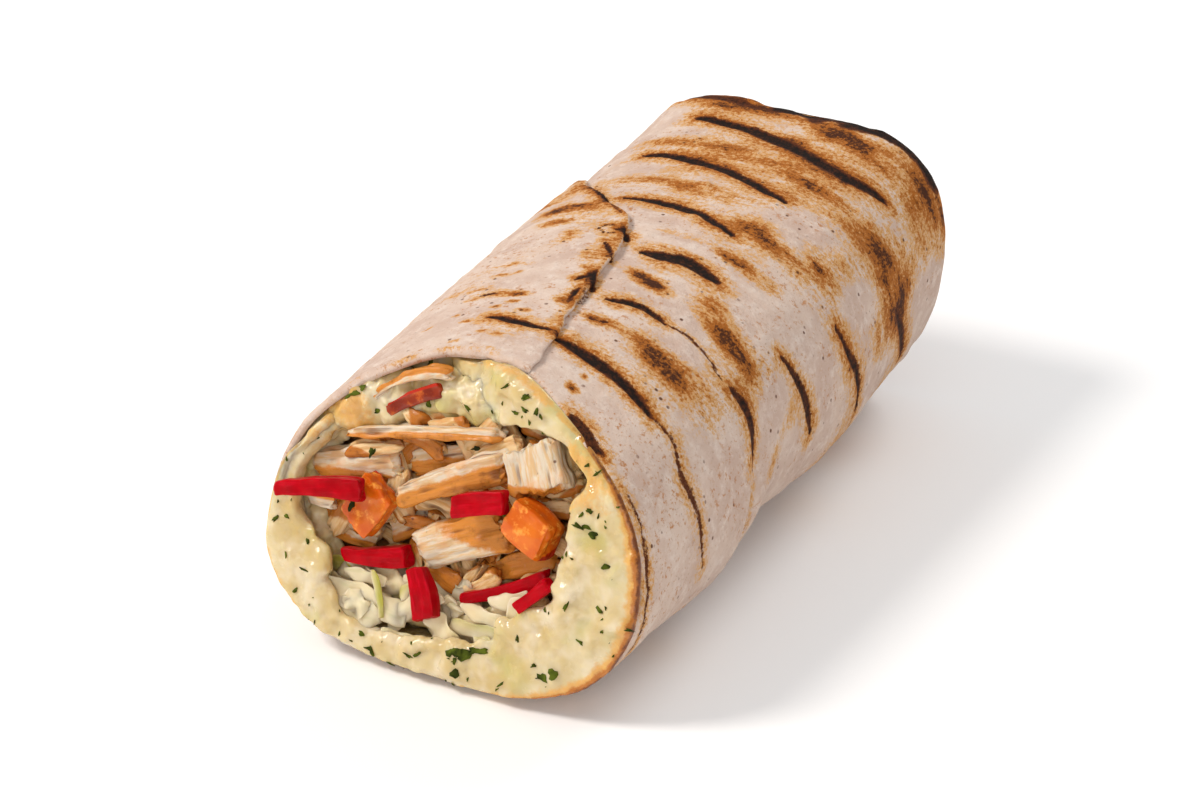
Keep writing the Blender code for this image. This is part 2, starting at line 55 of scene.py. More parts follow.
# The roll's mean radius in millimetres, to turn angles into lengths round it, and that at its shut end.
MEAN_RADIUS = 36.0
MEAN_END_RADIUS = 37.0
EASED = {"interpolation_type": "SMOOTHSTEP"}
CLOUD = {"Detail": 3.0, "Roughness": 0.55}

# The roll's outside. A share is of the radius, at the mouth, the middle and the shut end.
SQUARENESS = 2.35
PRESSED_FLAT = 0.8 * MM
OVAL_SHARE = (-0.018, 0.0, -0.007)
SHOULDER_SHARE = (-0.042, 0.0, 0.033)
CORNER_SHARE = (0.017, 0.0, -0.006)
MOUTH_LEAN = math.radians(15)
MOUTH_SCOOP = 8 * MM
MOUTH_SCOOP_ANGLE = math.radians(108)
END_ROUNDING = 2.5 * MM
END_TUCK = 1.2 * MM
LIP_DEPTH = 3 * MM  # how far from the mouth the bread's edge is ragged
# Soft swellings: millimetres from the mouth, degrees round, rise, reach along, and reach round in degrees.
BREAD_SWELLINGS = (
    (38, -38, 1.4, 13, 34), (60, -32, -2.2, 9, 30), (96, -25, 0.9, 18, 35), (22, 40, 0.8, 12, 25),
    (108, 120, -0.9, 12, 25), (128, 200, 0.9, 16, 40), (76, -38, -0.9, 14, 30), (0, -95, -1.9, 12, 50),
)

# The loose edge of the outer layer: where it lies round the roll at places along it, in millimetres.
FLAP_THICKNESS = 1.3 * MM
FLAP_EDGE_PLACES = (0, 15, 24, 33, 40, 49, 55, 62, 68, 74, 81, 94, 106, 125, 150)
FLAP_EDGE_DEGREES = (72, 77, 81, 84, 85, 88, 90.5, 92.5, 96, 102, 115, 132, 144, 173, 205)
FLAP_FADES_OVER = math.radians(115)

# The melted cheese: degrees round, width of the band, stand-out at the bread and at its inner edge in
# millimetres, and how far it laps over the bread's edge, from 0 to 1.
CHEESE_BAND = (
    (0, 13.4, 2.0, 2.2, 1), (12, 12.2, 1.8, 1.8, 1), (22, 8.0, 1.6, 1.2, 1), (32, 2.6, 1.2, 0.8, 1),
    (44, 1.8, 1.2, 0.8, 1), (54, 2.8, 2.2, 1.6, 1), (64, 5.8, 3.6, 2.6, 1), (76, 7.2, 3.8, 3.0, 1),
    (88, 8.2, 2.2, 2.0, 0.8), (98, 9.2, -2.4, -1.2, 0.4), (112, 9.8, -4.4, -3.2, 0.1),
    (126, 10.0, -4.6, -3.8, 0), (138, 9.2, -4.6, -3.8, 0), (150, 4.8, -4.0, -3.4, 0.1),
    (162, 2.4, -1.4, -1.6, 0.5), (174, 1.8, 0.9, 0.4, 1), (183, 4.0, 1.4, 1.0, 1), (192, 7.6, 2.2, 1.6, 1),
    (200, 10.6, 2.2, 1.8, 1), (211, 6.4, 2.2, 1.8, 1), (224, 3.6, 2.0, 1.8, 1), (240, 3.4, 2.0, 2.0, 1),
    (256, 4.2, 2.2, 2.2, 1), (272, 5.2, 2.4, 2.4, 1), (288, 6.2, 2.6, 2.6, 1), (302, 8.2, 2.8, 2.6, 1),
    (318, 13.0, 2.8, 2.6, 1), (334, 15.0, 2.6, 2.4, 1), (347, 13.4, 2.4, 2.4, 1),
)
CHEESE_DEPTH = 9.5 * MM
CHEESE_GAP = 0.5 * MM
CHEESE_SETS_BREAD_BACK = 2.2 * MM

# Grill marks: degrees round the roll and millimetres from the mouth, half width in millimetres, strength.
GRILL_MARKS = (
    (((104, 15), (94, 14), (86, 14), (79, 15)), 0.8, 1.0),
    (((76, 15), (68, 16), (60, 17), (47, 18), (36, 18)), 1.15, 1.0),
    (((36, 18), (26, 20), (17, 18), (4, 22), (-12, 26)), 0.55, 0.55),
    (((51, 0.5), (47, 0.6), (41, 0.4), (36, 0.6)), 1.0, 0.8),
    (((26, 1), (7, 1.5), (-8, 2.5), (-24, 3.6), (-44, 4.2)), 0.5, 0.52),
    (((76, 38), (70, 40), (62, 42), (54, 42)), 0.75, 1.0),
    (((54, 42), (45, 44), (38, 44), (30, 43)), 0.35, 0.55),
    (((26, 44), (18, 46), (12, 46), (6, 45)), 0.95, 0.85),
    (((6, 45), (-8, 46), (-24, 48)), 0.45, 0.55),
    (((82, 61), (74, 62), (66, 64), (59, 64), (53, 64)), 1.5, 1.0),
    (((23, 64), (17, 66), (12, 68), (4, 71), (-4, 73)), 0.85, 0.85),
    (((112, 86), (101, 86), (90, 86), (79, 85), (70, 83), (62, 82)), 1.05, 1.0),
    (((18, 87), (9, 90), (2, 94), (-6, 97), (-15, 99)), 0.8, 0.9),
    (((126, 115), (115, 114), (104, 112), (91, 110), (77, 107), (66, 104), (58, 103)), 1.15, 1.0),
    (((7, 117), (-6, 124), (-20, 131)), 0.9, 0.85),
    (((118, 135), (107, 134), (95, 133), (82, 130), (69, 127), (58, 125), (50, 124), (37, 127)), 1.5, 1.0),
    (((134, 149), (121, 147), (110, 146), (101, 145)), 1.2, 0.75),
    (((120, 29), (113, 28)), 0.5, 0.8),
    (((130, 94), (121, 86), (113, 80)), 0.45, 1.0),
    (((112, 79), (103, 74)), 0.3, 0.5),
    (((104, 64), (103, 66.6), (98, 66.5)), 0.3, 1.0),
    (((104, 64), (100, 62.2), (96, 63.5)), 0.3, 1.0),
    (((98, 65), (95, 66), (92, 64)), 0.8, 1.0),
    (((96, 58), (92, 55), (88, 52)), 0.45, 1.0),
    (((90, 38), (88, 40), (86, 43)), 0.4, 1.0),
    (((87, 43), (85, 40), (82, 38)), 0.6, 1.0),
    (((86, 35), (85, 31), (84, 29)), 0.38, 1.0),
    (((74, 29), (72.5, 29.4)), 0.45, 0.8),
    (((69.5, 30), (68, 30.3)), 0.4, 0.8),
    (((176, 24), (190, 25), (206, 23)), 0.9, 0.8),
    (((164, 44), (182, 46), (204, 45)), 1.1, 0.9),
    (((170, 66), (188, 66), (200, 67)), 0.8, 0.7),
    (((196, 88), (210, 87), (222, 88)), 1.0, 0.9),
    (((172, 108), (188, 109), (206, 108)), 1.1, 0.9),
    (((178, 130), (196, 131), (214, 129)), 1.0, 0.8),
)
# Millimetres from the mouth of the marks underneath.
UNDERSIDE_MARKS = (13, 33, 54, 74, 95, 116, 136)

# Toasting: degrees and millimetres of a patch's middle, reach round and along in millimetres, strength.
TOAST_PATCHES = (
    (110, 98, 12, 4, 0.5), (90, 96, 11, 4, 0.5), (60, 89, 5, 3.5, 0.6), (50, 87, 7, 4, 0.75),
    (38, 91, 6, 4, 0.7), (58, 114, 5, 2.5, 0.6), (48, 114, 5, 2.5, 0.6), (121, 122, 8, 3, 0.6),
    (100, 121, 9, 2.5, 0.55), (78, 118, 9, 2.5, 0.55), (29, 113, 5, 5, 0.85), (20, 116, 7, 7, 0.95),
    (10, 122, 6, 6, 0.85), (2, 116, 5, 6, 0.45), (36, 143, 5, 5, 0.95), (28, 136, 5, 5, 0.75),
    (48, 55, 4, 3.5, 0.7), (39, 52.5, 5, 3.6, 1.1), (31, 52, 5, 3.5, 0.85), (24, 54, 4, 3.5, 0.6),
    (53, 31, 4.5, 4, 0.65), (46, 31, 5.5, 4, 1.0), (39, 32, 4, 4, 0.6), (76, 52, 3, 1.5, 0.8),
    (69, 51, 4.5, 2.4, 1.25), (72, 29, 3, 1.5, 0.6), (65, 31, 3, 1.5, 0.6), (29, 35, 5, 4, 0.4),
    (23, 59, 3, 3, 0.6), (47, 74, 7, 3, 0.55), (56, 73, 5, 2, 0.55), (80, 73, 7, 2, 0.35),
    (5, 108, 5, 6, 0.5), (58, 6, 1.6, 1.2, 1.0), (58, 11, 0.9, 0.8, 0.9), (7, 62, 3, 4, 0.35),
    (-3, 56, 4, 4, 0.35), (60, 139, 9, 5, 0.7), (47, 136, 7, 4, 0.7), (110, 143, 10, 2.5, 0.55),
    (88, 144, 8, 3, 1.0), (69, 142, 6, 3, 1.0), (58, 139, 5, 2.6, 1.0), (107, 28, 4, 1.3, 0.8),
    (131, 78, 3.5, 3, 1.1), (120, 77, 5, 2.5, 0.9), (124, 70, 4, 3, 0.7), (112, 60, 3, 4, 0.6),
    (143, 92, 5, 4, 0.6), (140, 86, 5, 1.6, 0.7), (147, 89, 3, 1.6, 0.7), (134, 90, 2.5, 2, 0.7),
    (122, 79, 2.5, 1.5, 0.6), (122, 70, 2.5, 1.5, 0.6), (93, 48, 1.3, 1.2, 0.6), (92, 44, 1.5, 1.1, 0.5),
    (122, 46, 1.3, 0.9, 0.9), (115, 40, 1.1, 0.9, 0.7), (121, 39, 1.9, 0.8, 0.9), (104, 28, 2.2, 1.1, 1.1),
    (132, 36, 2.6, 1.3, 0.6), (124, 33, 2.2, 1.1, 0.6), (121, 27, 2.0, 0.9, 1.0), (103, 24, 1.6, 0.9, 1.0),
    (87, 28, 2.2, 1.5, 0.5), (107, 21, 1.3, 0.8, 0.9), (95, 20, 1.6, 0.9, 0.8), (112, 14, 1.4, 0.8, 0.8),
    (94, 7, 1.3, 0.8, 0.9), (100, 8, 1.1, 0.7, 0.8), (120, 19, 1.0, 0.7, 1.0), (128, 16, 1.4, 0.7, 1.0),
    (107, 3, 1.3, 0.7, 0.9), (21, 144, 7, 4, 0.7), (16, 134, 4, 5, 0.6), (35, 91, 2, 1.5, 0.8),
    (122, 45, 5, 1, 0.45), (96, 52, 3, 6, 0.35), (112, 70, 6, 5, 0.3), (170, 95, 9, 7, 0.6),
    (200, 70, 8, 8, 0.5), (186, 128, 12, 8, 0.7), (216, 40, 7, 8, 0.5), (-30, 92, 8, 7, 0.45),
    (-40, 118, 9, 8, 0.7), (-34, 30, 6, 6, 0.35),
)

# Places left pale: degrees and millimetres of the middle, reach round and along in millimetres.
PALE_PATCHES = (
    (47, 100, 7, 6), (45, 91, 6, 4), (25, 75, 7, 7), (140, 138, 8, 6), (20, 97, 4, 7), (47, 47, 4, 2),
    (14, 56, 6, 6), (66, 70, 6, 2.5), (86, 57, 4, 4),
)

# Corners pushed out at the shut end: degrees round, reach in degrees, where the rise starts, its height.
FAR_CORNERS = (
    (40, 20, 118, 1.5),
    (127, 21, 128, 2.1),
)

# Creases: degrees round and millimetres from the mouth, half width and depth in millimetres.
CREASES = (
    (((-52, 43), (-28, 45), (2, 47), (20, 51)), 2.6, 0.9),
    (((-60, 78), (-30, 80), (-4, 77)), 3.0, 0.5),
    (((150, 30), (146, 52), (149, 76)), 1.6, 0.35),
    (((128, 12), (134, 36), (130, 60)), 1.2, 0.25),
    (((30, 100), (18, 112), (10, 130)), 1.8, 0.3),
)

# Filling in millimetres (across, in, up): two ends, width, thickness, roll in degrees, share of the width
# left at the first end, and the bow of the middle.
CHICKEN = {
    "chicken_roof_slice": ((-20.8, 6.4, 47.6), (-6.4, 6.4, 55.0), 2.2, 2.8, 0, 0.7, 1.2),
    "chicken_thin_slice": ((-24.0, 6.6, 40.3), (5.2, 6.6, 46.0), 2.4, 5.2, 0, 0.8, 0.3),
    "chicken_torn_chunk": ((-31.4, 8.3, 32.6), (-14.6, 8.3, 36.8), 6.6, 5.6, 0, 0.7, 0.2),
    "chicken_wedge": ((3.6, 9.6, 42.2), (-12.9, 9.4, 36.2), 5.0, 4.0, 0, 0.6, -0.3),
    "chicken_long_slice": ((-12.0, 4.2, 31.4), (8.0, 4.8, 41.4), 5.8, 4.4, 8, 0.8, 0.2),
    "chicken_block": ((12.6, 5.8, 45.6), (15.8, 5.8, 38.1), 10.8, 7.2, 0, 0.95, 0),
    "chicken_frayed_bit": ((-15.8, 10.2, 23.6), (-9.2, 10.8, 28.2), 5.6, 4.0, 0, 0.9, 0),
    "chicken_middle_block": ((-7.8, 6.4, 22.4), (8.3, 7.0, 30.0), 8.8, 6.0, 0, 0.74, 0),
    "chicken_small_slice": ((3.2, 9.2, 19.4), (17.0, 9.4, 26.4), 4.2, 3.4, 0, 0.8, 0.3),
    "chicken_left_flake": ((-29.4, 9.6, 22.6), (-18.6, 9.8, 21.2), 5.0, 3.8, 0, 0.9, -0.3),
    "chicken_nub": ((-31.6, 6.4, 26.4), (-26.6, 6.6, 26.6), 2.8, 3.0, 0, 0.8, 0),
}
TURNIP = {
    "turnip_left_stick": ((-34.4, -1.2, 28.9), (-16.8, -1.0, 32.4), 4.2, 2.6, 0, 0.62, 0.4),
    "turnip_middle_stick": ((0.8, 0.2, 33.2), (10.8, 0.2, 36.2), 4.3, 2.6, 0, 0.9, 0.2),
    "turnip_low_left_stick": ((-22.2, 4.6, 18.2), (-9.2, 4.6, 20.8), 4.2, 3.0, 0, 0.6, -0.3),
    "turnip_upright_stick": ((-5.6, 1.4, 20.4), (-2.1, 0.8, 11.8), 4.7, 3.0, 0, 0.8, 0.3),
    "turnip_low_right_stick": ((1.7, 5.9, 15.5), (17.8, 6.0, 23.2), 2.8, 2.4, 0, 0.8, -0.4),
    "turnip_short_stick": ((15.5, 0.4, 18.5), (20.9, 0.4, 24.1), 2.4, 2.4, 0, 0.9, 0),
}
TOMATO = {
    "tomato_roof_slice": ((-17.8, 6.8, 45.4), (-7.6, 6.8, 51.4), 2.8, 2.6, 0, 0.8, 0.3),
    "tomato_left_chunk": ((-19.8, 3.2, 24.8), (-15.2, 3.2, 32.6), 7.8, 3.8, 0, 0.9, 0),
    "tomato_right_cube": ((11.6, 2.4, 34.0), (19.1, 2.4, 30.2), 7.2, 5.4, 0, 1.0, 0),
    "tomato_back_chunk": ((12.8, 10.8, 34.2), (19.8, 10.8, 35.2), 3.2, 2.8, 0, 0.9, 0),
}

# The browned side of each piece of chicken, in its own length, width and outward directions, and how much.
SEARED = {
    "chicken_roof_slice": ((0, 0.8, 0.2), 0.7),
    "chicken_thin_slice": ((0, -1, 0.3), 0.7),
    "chicken_torn_chunk": ((-0.4, -1, 0.1), 0.5),
    "chicken_wedge": ((0.3, 0.9, 0.2), 0.7),
    "chicken_long_slice": ((0.1, -1, 0.3), 0.85),
    "chicken_block": ((0.9, -0.4, -0.1), 0.45),
    "chicken_frayed_bit": ((0, -1, 0), 0.5),
    "chicken_middle_block": ((0.7, 0.5, 0.3), 0.6),
    "chicken_small_slice": ((0.1, 0.3, 0.8), 0.65),
    "chicken_left_flake": ((0, -1, 0.2), 0.45),
    "chicken_nub": ((0, 1, 0), 0.6),
}
# Scraps that close the three widest gaps, written like the chicken.
GAP_SCRAPS = (
    ((8.6, 9.4, 48.6), (17.4, 9.2, 45.6), 4.4, 3.2, 0, 0.8, 0.3),
    ((17.4, 9.0, 46.0), (21.2, 8.8, 37.6), 4.2, 3.2, 0, 0.8, 0.3),
    ((10.4, 8.8, 33.4), (19.6, 8.6, 35.4), 3.0, 2.6, 0, 0.8, 0.2),
)

# Shreds on the mound: two ends (across, in, up), width, thickness, and the bow of the middle.
CABBAGE_SHREDS = (
    ((-25, 6.4, 13.0), (-15, 5.0, 14.6), 3.8, 1.5, 1.0),
    ((-21.6, 6.8, 10.6), (-11, 5.4, 11.0), 3.6, 1.6, -0.6),
    ((-17, 6.2, 15.4), (-8.6, 5.0, 14.4), 3.4, 1.6, 0.6),
    ((-20.6, 5.2, 14.8), (-18, 4.4, 10.0), 3.0, 1.4, 0.6),
    ((-13.4, 5.6, 14.4), (-12.6, 3.8, 9.6), 3.0, 1.4, -0.6),
    ((-11, 5.6, 10.2), (-1, 4.8, 10.6), 3.2, 1.5, 0.6),
    ((-9, 6.0, 13.0), (-1.4, 5.6, 12.0), 3.2, 1.5, 0.6),
    ((-0.6, 5.6, 10.4), (2.0, 4.0, 14.4), 3.2, 1.5, 0.6),
    ((2.4, 6.8, 13.2), (10.0, 3.8, 12.2), 3.2, 1.5, 0.8),
    ((2.6, 6.8, 10.8), (11.6, 5.4, 13.4), 2.8, 1.5, -0.6),
    ((10.4, 4.6, 17.0), (9.4, 3.9, 11.8), 2.8, 1.5, 0.6),
    ((4.2, 6.9, 12.3), (11.4, 5.8, 15.4), 2.2, 1.3, 0.4),
)
# Broad leaves on the mound: two ends (across, in, up), width, thickness, and how green.
CABBAGE_LEAVES = (
    ((-24.5, 2.6, 12.4), (-7.3, 2.6, 10.5), 4.6, 0.9, 0.0),
    ((-21.9, 2.4, 8.3), (-12.6, 2.4, 9.4), 4.2, 0.8, 0.0),
    ((-14.7, 1.8, 17.7), (-12.0, 1.8, 9.5), 1.3, 0.5, 0.75),
    ((-10.2, 2.6, 9.6), (-0.7, 2.6, 16.0), 3.2, 0.7, 0.05),
    ((-1.8, 1.8, 12.8), (2.4, 1.8, 5.5), 3.8, 0.8, 0.1),
    ((3.3, 2.4, 15.4), (13.4, 2.4, 14.6), 2.2, 0.7, 0.0),
    ((8.8, 2.6, 17.2), (15.9, 2.6, 20.1), 2.4, 0.7, 0.0),
    ((14.4, 1.4, 20.0), (17.4, 1.4, 9.5), 3.0, 0.8, 0.0),
    ((1.6, 2.6, 11.6), (12.9, 2.6, 11.6), 2.4, 0.6, 0.35),
    ((-26.3, 2.8, 5.7), (-19.9, 2.8, 4.8), 2.4, 0.5, 0.9),
    ((-21.4, 3.4, 15.5), (-12.7, 3.4, 15.6), 2.0, 0.6, 0.1),
    ((-9.3, 3.2, 13.7), (-5.1, 3.2, 17.8), 2.2, 0.6, 0.5),
    ((-11.4, 1.6, 6.6), (-0.2, 1.6, 6.8), 3.4, 0.7, 0.15),
    ((-19.6, 1.8, 12.6), (-15.3, 1.8, 9.4), 3.4, 0.7, 0.0),
    ((7.1, 1.4, 10.2), (13.8, 1.4, 9.7), 2.6, 0.6, 0.25),
    ((-8.8, 3.6, 18.0), (-6.4, 3.6, 12.8), 2.0, 0.6, 0.3),
)
# The mound's core: its middle (across, in, up) and half sizes (across, up, in).
CABBAGE_MOUND = ((-5.0, 9.0, 11.6), (17.5, 3.6, 3.9))

# The mash under the upper lip: millimetres across, in and up, then half its height and half its depth.
MASH_PATH = (
    (-24.0, 8.6, 14.5, 2.2, 2.6), (-29.0, 8.8, 19.0, 2.6, 2.8), (-32.4, 9.2, 25.0, 2.6, 2.8),
    (-33.4, 9.4, 31.5, 2.4, 2.8), (-31.6, 9.4, 37.5, 2.6, 2.8), (-27.0, 9.0, 42.6, 3.4, 3.4),
    (-21.0, 9.4, 46.2, 4.4, 3.6), (-16.0, 10.4, 48.2, 4.8, 3.6), (-10.0, 10.4, 49.8, 4.8, 3.6),
    (-4.0, 9.4, 50.6, 4.6, 3.8), (3.0, 9.0, 50.6, 4.2, 3.8), (9.0, 9.0, 49.4, 3.4, 3.0),
)

# Larger herb flakes on the cheese: millimetres across and up, length, width, and turn in degrees.
HERB_FLAKES = (
    (6.9, 8.6, 6.6, 2.6, 12), (5.6, 5.6, 3.6, 2.0, 75), (23.0, 8.1, 3.4, 2.2, 20),
    (6.6, 55.2, 2.4, 1.0, 10), (10.6, 54.4, 2.0, 1.0, 70), (13.1, 52.4, 2.2, 1.2, 120),
    (26.7, 35.2, 4.6, 1.8, 160), (31.0, 29.4, 2.0, 1.2, 40), (24.8, 21.5, 2.2, 1.0, 90),
    (31.4, 21.8, 1.8, 1.1, 10), (28.4, 15.6, 2.4, 0.9, 5), (-35.2, 22.6, 2.4, 1.1, 90),
    (-31.4, 17.0, 2.2, 1.0, 120), (-26.6, 14.8, 3.0, 1.0, 160), (-28.0, 20.0, 1.8, 1.0, 20),
    (-14.8, 6.0, 1.8, 1.2, 80), (-12.2, 3.6, 2.6, 1.3, 150), (-3.6, 5.2, 2.6, 0.9, 10),
    (14.4, 4.6, 1.8, 1.0, 50), (-23.2, 48.6, 4.4, 1.6, 32), (-25.6, 46.4, 2.2, 1.0, 60),
    (-19.1, 45.1, 2.6, 1.2, 25), (-10.2, 48.0, 2.2, 2.0, 80), (-1.6, 49.0, 2.0, 1.6, 20),
    (0.6, 54.4, 1.8, 0.9, 70), (8.8, 50.9, 1.8, 0.9, 30),
)

# Flakes on the filling: millimetres across, in and up, then length, width and turn.
LOOSE_FLAKES = (
    (-18.6, 3.9, 38.0, 2.0, 1.0, 70), (-20.0, 1.2, 28.6, 2.6, 1.0, 80), (10.2, 2.4, 33.6, 1.8, 1.4, 40),
    (11.0, 2.6, 32.4, 1.6, 1.0, 110), (1.5, 4.6, 43.0, 1.6, 0.8, 15),
)

FILLING_GAP = 1.2 * MM
# The oval where scraps lie, in millimetres: half its width, half its height and the height of its middle.
MOUTH_OVAL = (31, 21, 29)
# No scrap lies both below this height and left of this place, where the cabbage is.
MOUND_CORNER = (17, 12)

# How fine the grids are, and how many there are of what is strewn at random.
BREAD_ROUND, BREAD_ALONG = 262, 250
CHEESE_ROUND = 640
FINER = 7  # rows of the cheese's grid between two of its lines
MASH_ALONG, MASH_ROUND = 260, 90
END_RINGS = 9

# Fibres of a cut piece, along, across and out of it in millimetres: raised strands and the finer grain of its
# colour. The shift gives each piece its own part of the noise.
STRAND_SIZE = (5.0, 0.75, 0.75)
GRAIN_SIZE = (6.0, 0.8, 0.8)
NOISE_SHIFT = np.array((17.0, 5.0, 9.0)) * MM
BLISTERS = 70
LOOSE_SHREDS = 20

# Lamps: name, place, target, diameter, power and tint. Then the room's light, and half the paper's side.
LAMPS = (
    ("key", (-0.50, -0.35, 0.70), (0, 0, 0.03), 0.29, 5.6, "#FFF9F2"),
    ("fill", (0.30, -0.95, 0.38), (0, -0.06, 0.03), 0.7, 2.5, "#FFF8F0"),
    ("back", (0.20, 0.75, 0.65), (0, 0, 0.04), 0.45, 3.0, "#FFFFFF"),
)
ROOM_TINT = "#F4F5F7"
ROOM_STRENGTH = 0.56
PAPER_HALF = 3.0

# Where the eye stands: degrees round and up, distance, the point looked at, and the lens.
VIEW_AZIMUTH = 28
VIEW_ELEVATION = 26
VIEW_DISTANCE = 0.528
VIEW_TARGET = (-0.0058, 0.0, 0.0224)
LENS = 81.57
FILM_WIDTH = 36


class ShawarmaSizes(bpy.types.PropertyGroup):
    """Main sizes of the roll."""

    roll_length: bpy.props.FloatProperty(
        name="Roll length",
        description="From the mouth to the shut end",
        default=0.150,
        unit="LENGTH",
    )
    half_width_mouth: bpy.props.FloatProperty(
        name="Half width at the mouth",
        description="Half of the roll's width",
        default=0.0375,
        unit="LENGTH",
    )
    half_width_middle: bpy.props.FloatProperty(
        name="Half width in the middle",
        description="Half of the roll's width",
        default=0.0383,
        unit="LENGTH",
    )
    half_width_end: bpy.props.FloatProperty(
        name="Half width at the shut end",
        description="Half of the roll's width",
        default=0.0362,
        unit="LENGTH",
    )
    height_mouth: bpy.props.FloatProperty(
        name="Height at the mouth",
        description="The roll's height",
        default=0.0539,
        unit="LENGTH",
    )
    height_middle: bpy.props.FloatProperty(
        name="Height in the middle",
        description="The roll's height",
        default=0.0573,
        unit="LENGTH",
    )
    height_end: bpy.props.FloatProperty(
        name="Height at the shut end",
        description="The roll's height",
        default=0.0613,
        unit="LENGTH",
    )
    bread_thickness: bpy.props.FloatProperty(
        name="Bread thickness",
        description="Thickness of one layer of flatbread",
        default=0.0016,
        unit="LENGTH",
    )
    herb_count: bpy.props.IntProperty(
        name="Small herb flakes",
        description="How many small flakes lie on the cheese",
        default=85,
    )
    scrap_count: bpy.props.IntProperty(
        name="Chicken scraps",
        description="How many scraps fill the gaps",
        default=118,
    )


def sizes():
    """The sizes that a user may change."""
    return bpy.context.scene.shawarma


# ---------------------------------------------------------------- numbers


def smooth(value, low, high):
    """From 0 at low to 1 at high, level at both ends: three squares of the share less two cubes of it."""
    share = np.clip((value - low) / (high - low), 0, 1)
    return share * share * (3 - 2 * share)


def value_noise(points, size, seed):
    """Random values at the corners of a grid of that size, blended smoothly between them, from -1 to 1."""
    table = np.random.default_rng(seed).uniform(-1, 1, (32, 32, 32))
    spot = np.asarray(points) / size
    base = np.floor(spot).astype(int)
    part = spot - base
    part = part * part * (3 - 2 * part)
    total = np.zeros(spot.shape[:-1])
    for corner in np.ndindex(2, 2, 2):
        weight = np.prod(np.where(np.array(corner), part, 1 - part), axis=-1)
        place = (base + np.array(corner)) % 32
        total += weight * table[place[..., 0], place[..., 1], place[..., 2]]
    return total


def layered_noise(points, size, seed, layers=3):
    """The sum of value noise in layers, each half as large and half as strong as the one before it."""
    total = 0
    for layer in range(layers):
        total = total + value_noise(points, size / 2**layer, seed + layer) / 2**layer
    return total


def turn_from(angle, degrees):
    """Angles measured from a direction given in degrees, from minus half a turn to half a turn."""
    return np.angle(np.exp(1j * (angle - math.radians(degrees))))


def patch_distance(angle, depth, degrees, place, reach_round, reach_along):
    """The square of how many reaches away a patch's middle is, in millimetres over the bread."""
    turn = turn_from(angle, degrees) * MEAN_RADIUS
    return (turn / reach_round) ** 2 + ((depth / MM - place) / reach_along) ** 2


def along(values, share):
    """The quadratic through the values at the mouth, the middle and the shut end."""
    first, middle, last = values
    return (
        first * (1 - share) * (1 - 2 * share)
        + middle * 4 * share * (1 - share)
        + last * share * (2 * share - 1)
    )


def band_values(degrees):
    """The cheese band's width, stand-outs and lap at angles, by smooth steps between its places."""
    table = np.array(CHEESE_BAND)
    places = np.append(table[:, 0], 360)
    low = np.searchsorted(places, degrees % 360, side="right") - 1
    share = (degrees % 360 - places[low]) / (places[low + 1] - places[low])
    share = share * share * (3 - 2 * share)
    first, last = table[low], table[(low + 1) % len(table)]
    mixed = first + (last - first) * share[..., None]
    return mixed[..., 1] * MM, mixed[..., 2] * MM, mixed[..., 3] * MM, mixed[..., 4]


def roll_points(angle, depth, inset, shrink=1.0):
    """Points of the roll at angles round it and depths behind its mouth, inset from the bread's outside.

    The radius is a superellipse with low waves round it and soft swellings.
    The mouth leans back and is scooped.
    """
    angle, depth, inset, shrink = np.broadcast_arrays(angle, depth, inset, shrink)
    length = sizes().roll_length
    half_widths = (sizes().half_width_mouth, sizes().half_width_middle, sizes().half_width_end)
    heights = (sizes().height_mouth, sizes().height_middle, sizes().height_end)
    lap = band_values(np.degrees(angle))[3]
    depth = depth + CHEESE_SETS_BREAD_BACK * lap * np.clip(1 - depth / (30 * MM), 0, 1)
    share = np.clip(depth / length, 0, 1)
    half_width = along(half_widths, share)
    middle = along(heights, share) / 2
    radius = (
        np.abs(np.cos(angle) / half_width) ** SQUARENESS
        + np.abs(np.sin(angle) / middle) ** SQUARENESS
    ) ** (-1 / SQUARENESS)
    radius = radius * (
        1
        + along(OVAL_SHARE, share) * np.cos(2 * angle)
        + along(SHOULDER_SHARE, share) * np.sin(3 * angle)
        + along(CORNER_SHARE, share) * np.cos(4 * angle)
    )
    for place, degrees, height, reach_along, reach_round in BREAD_SWELLINGS:
        away = ((share * length - place * MM) / (reach_along * MM)) ** 2
        away = away + (turn_from(angle, degrees) / math.radians(reach_round)) ** 2
        radius = radius + height * MM * np.exp(-away)
    radius = (radius - inset) * shrink
    x = radius * np.cos(angle)
    z = middle - PRESSED_FLAT + radius * np.sin(angle)
    z = np.maximum(z, np.where(shrink > 0.9, np.maximum(inset, 0), -1))
    lean = z * math.tan(MOUTH_LEAN)
    scoop = MOUTH_SCOOP * np.clip(np.cos(angle - MOUTH_SCOOP_ANGLE), 0, 1) ** 2
    y = depth + (lean + scoop) * (1 - share) - length / 2
    return np.stack([x, y, z], axis=-1)


def flap_angle(depth):
    """Where the loose edge lies round the roll, in straight lines between its places."""
    return np.radians(np.interp(depth / MM, FLAP_EDGE_PLACES, FLAP_EDGE_DEGREES))


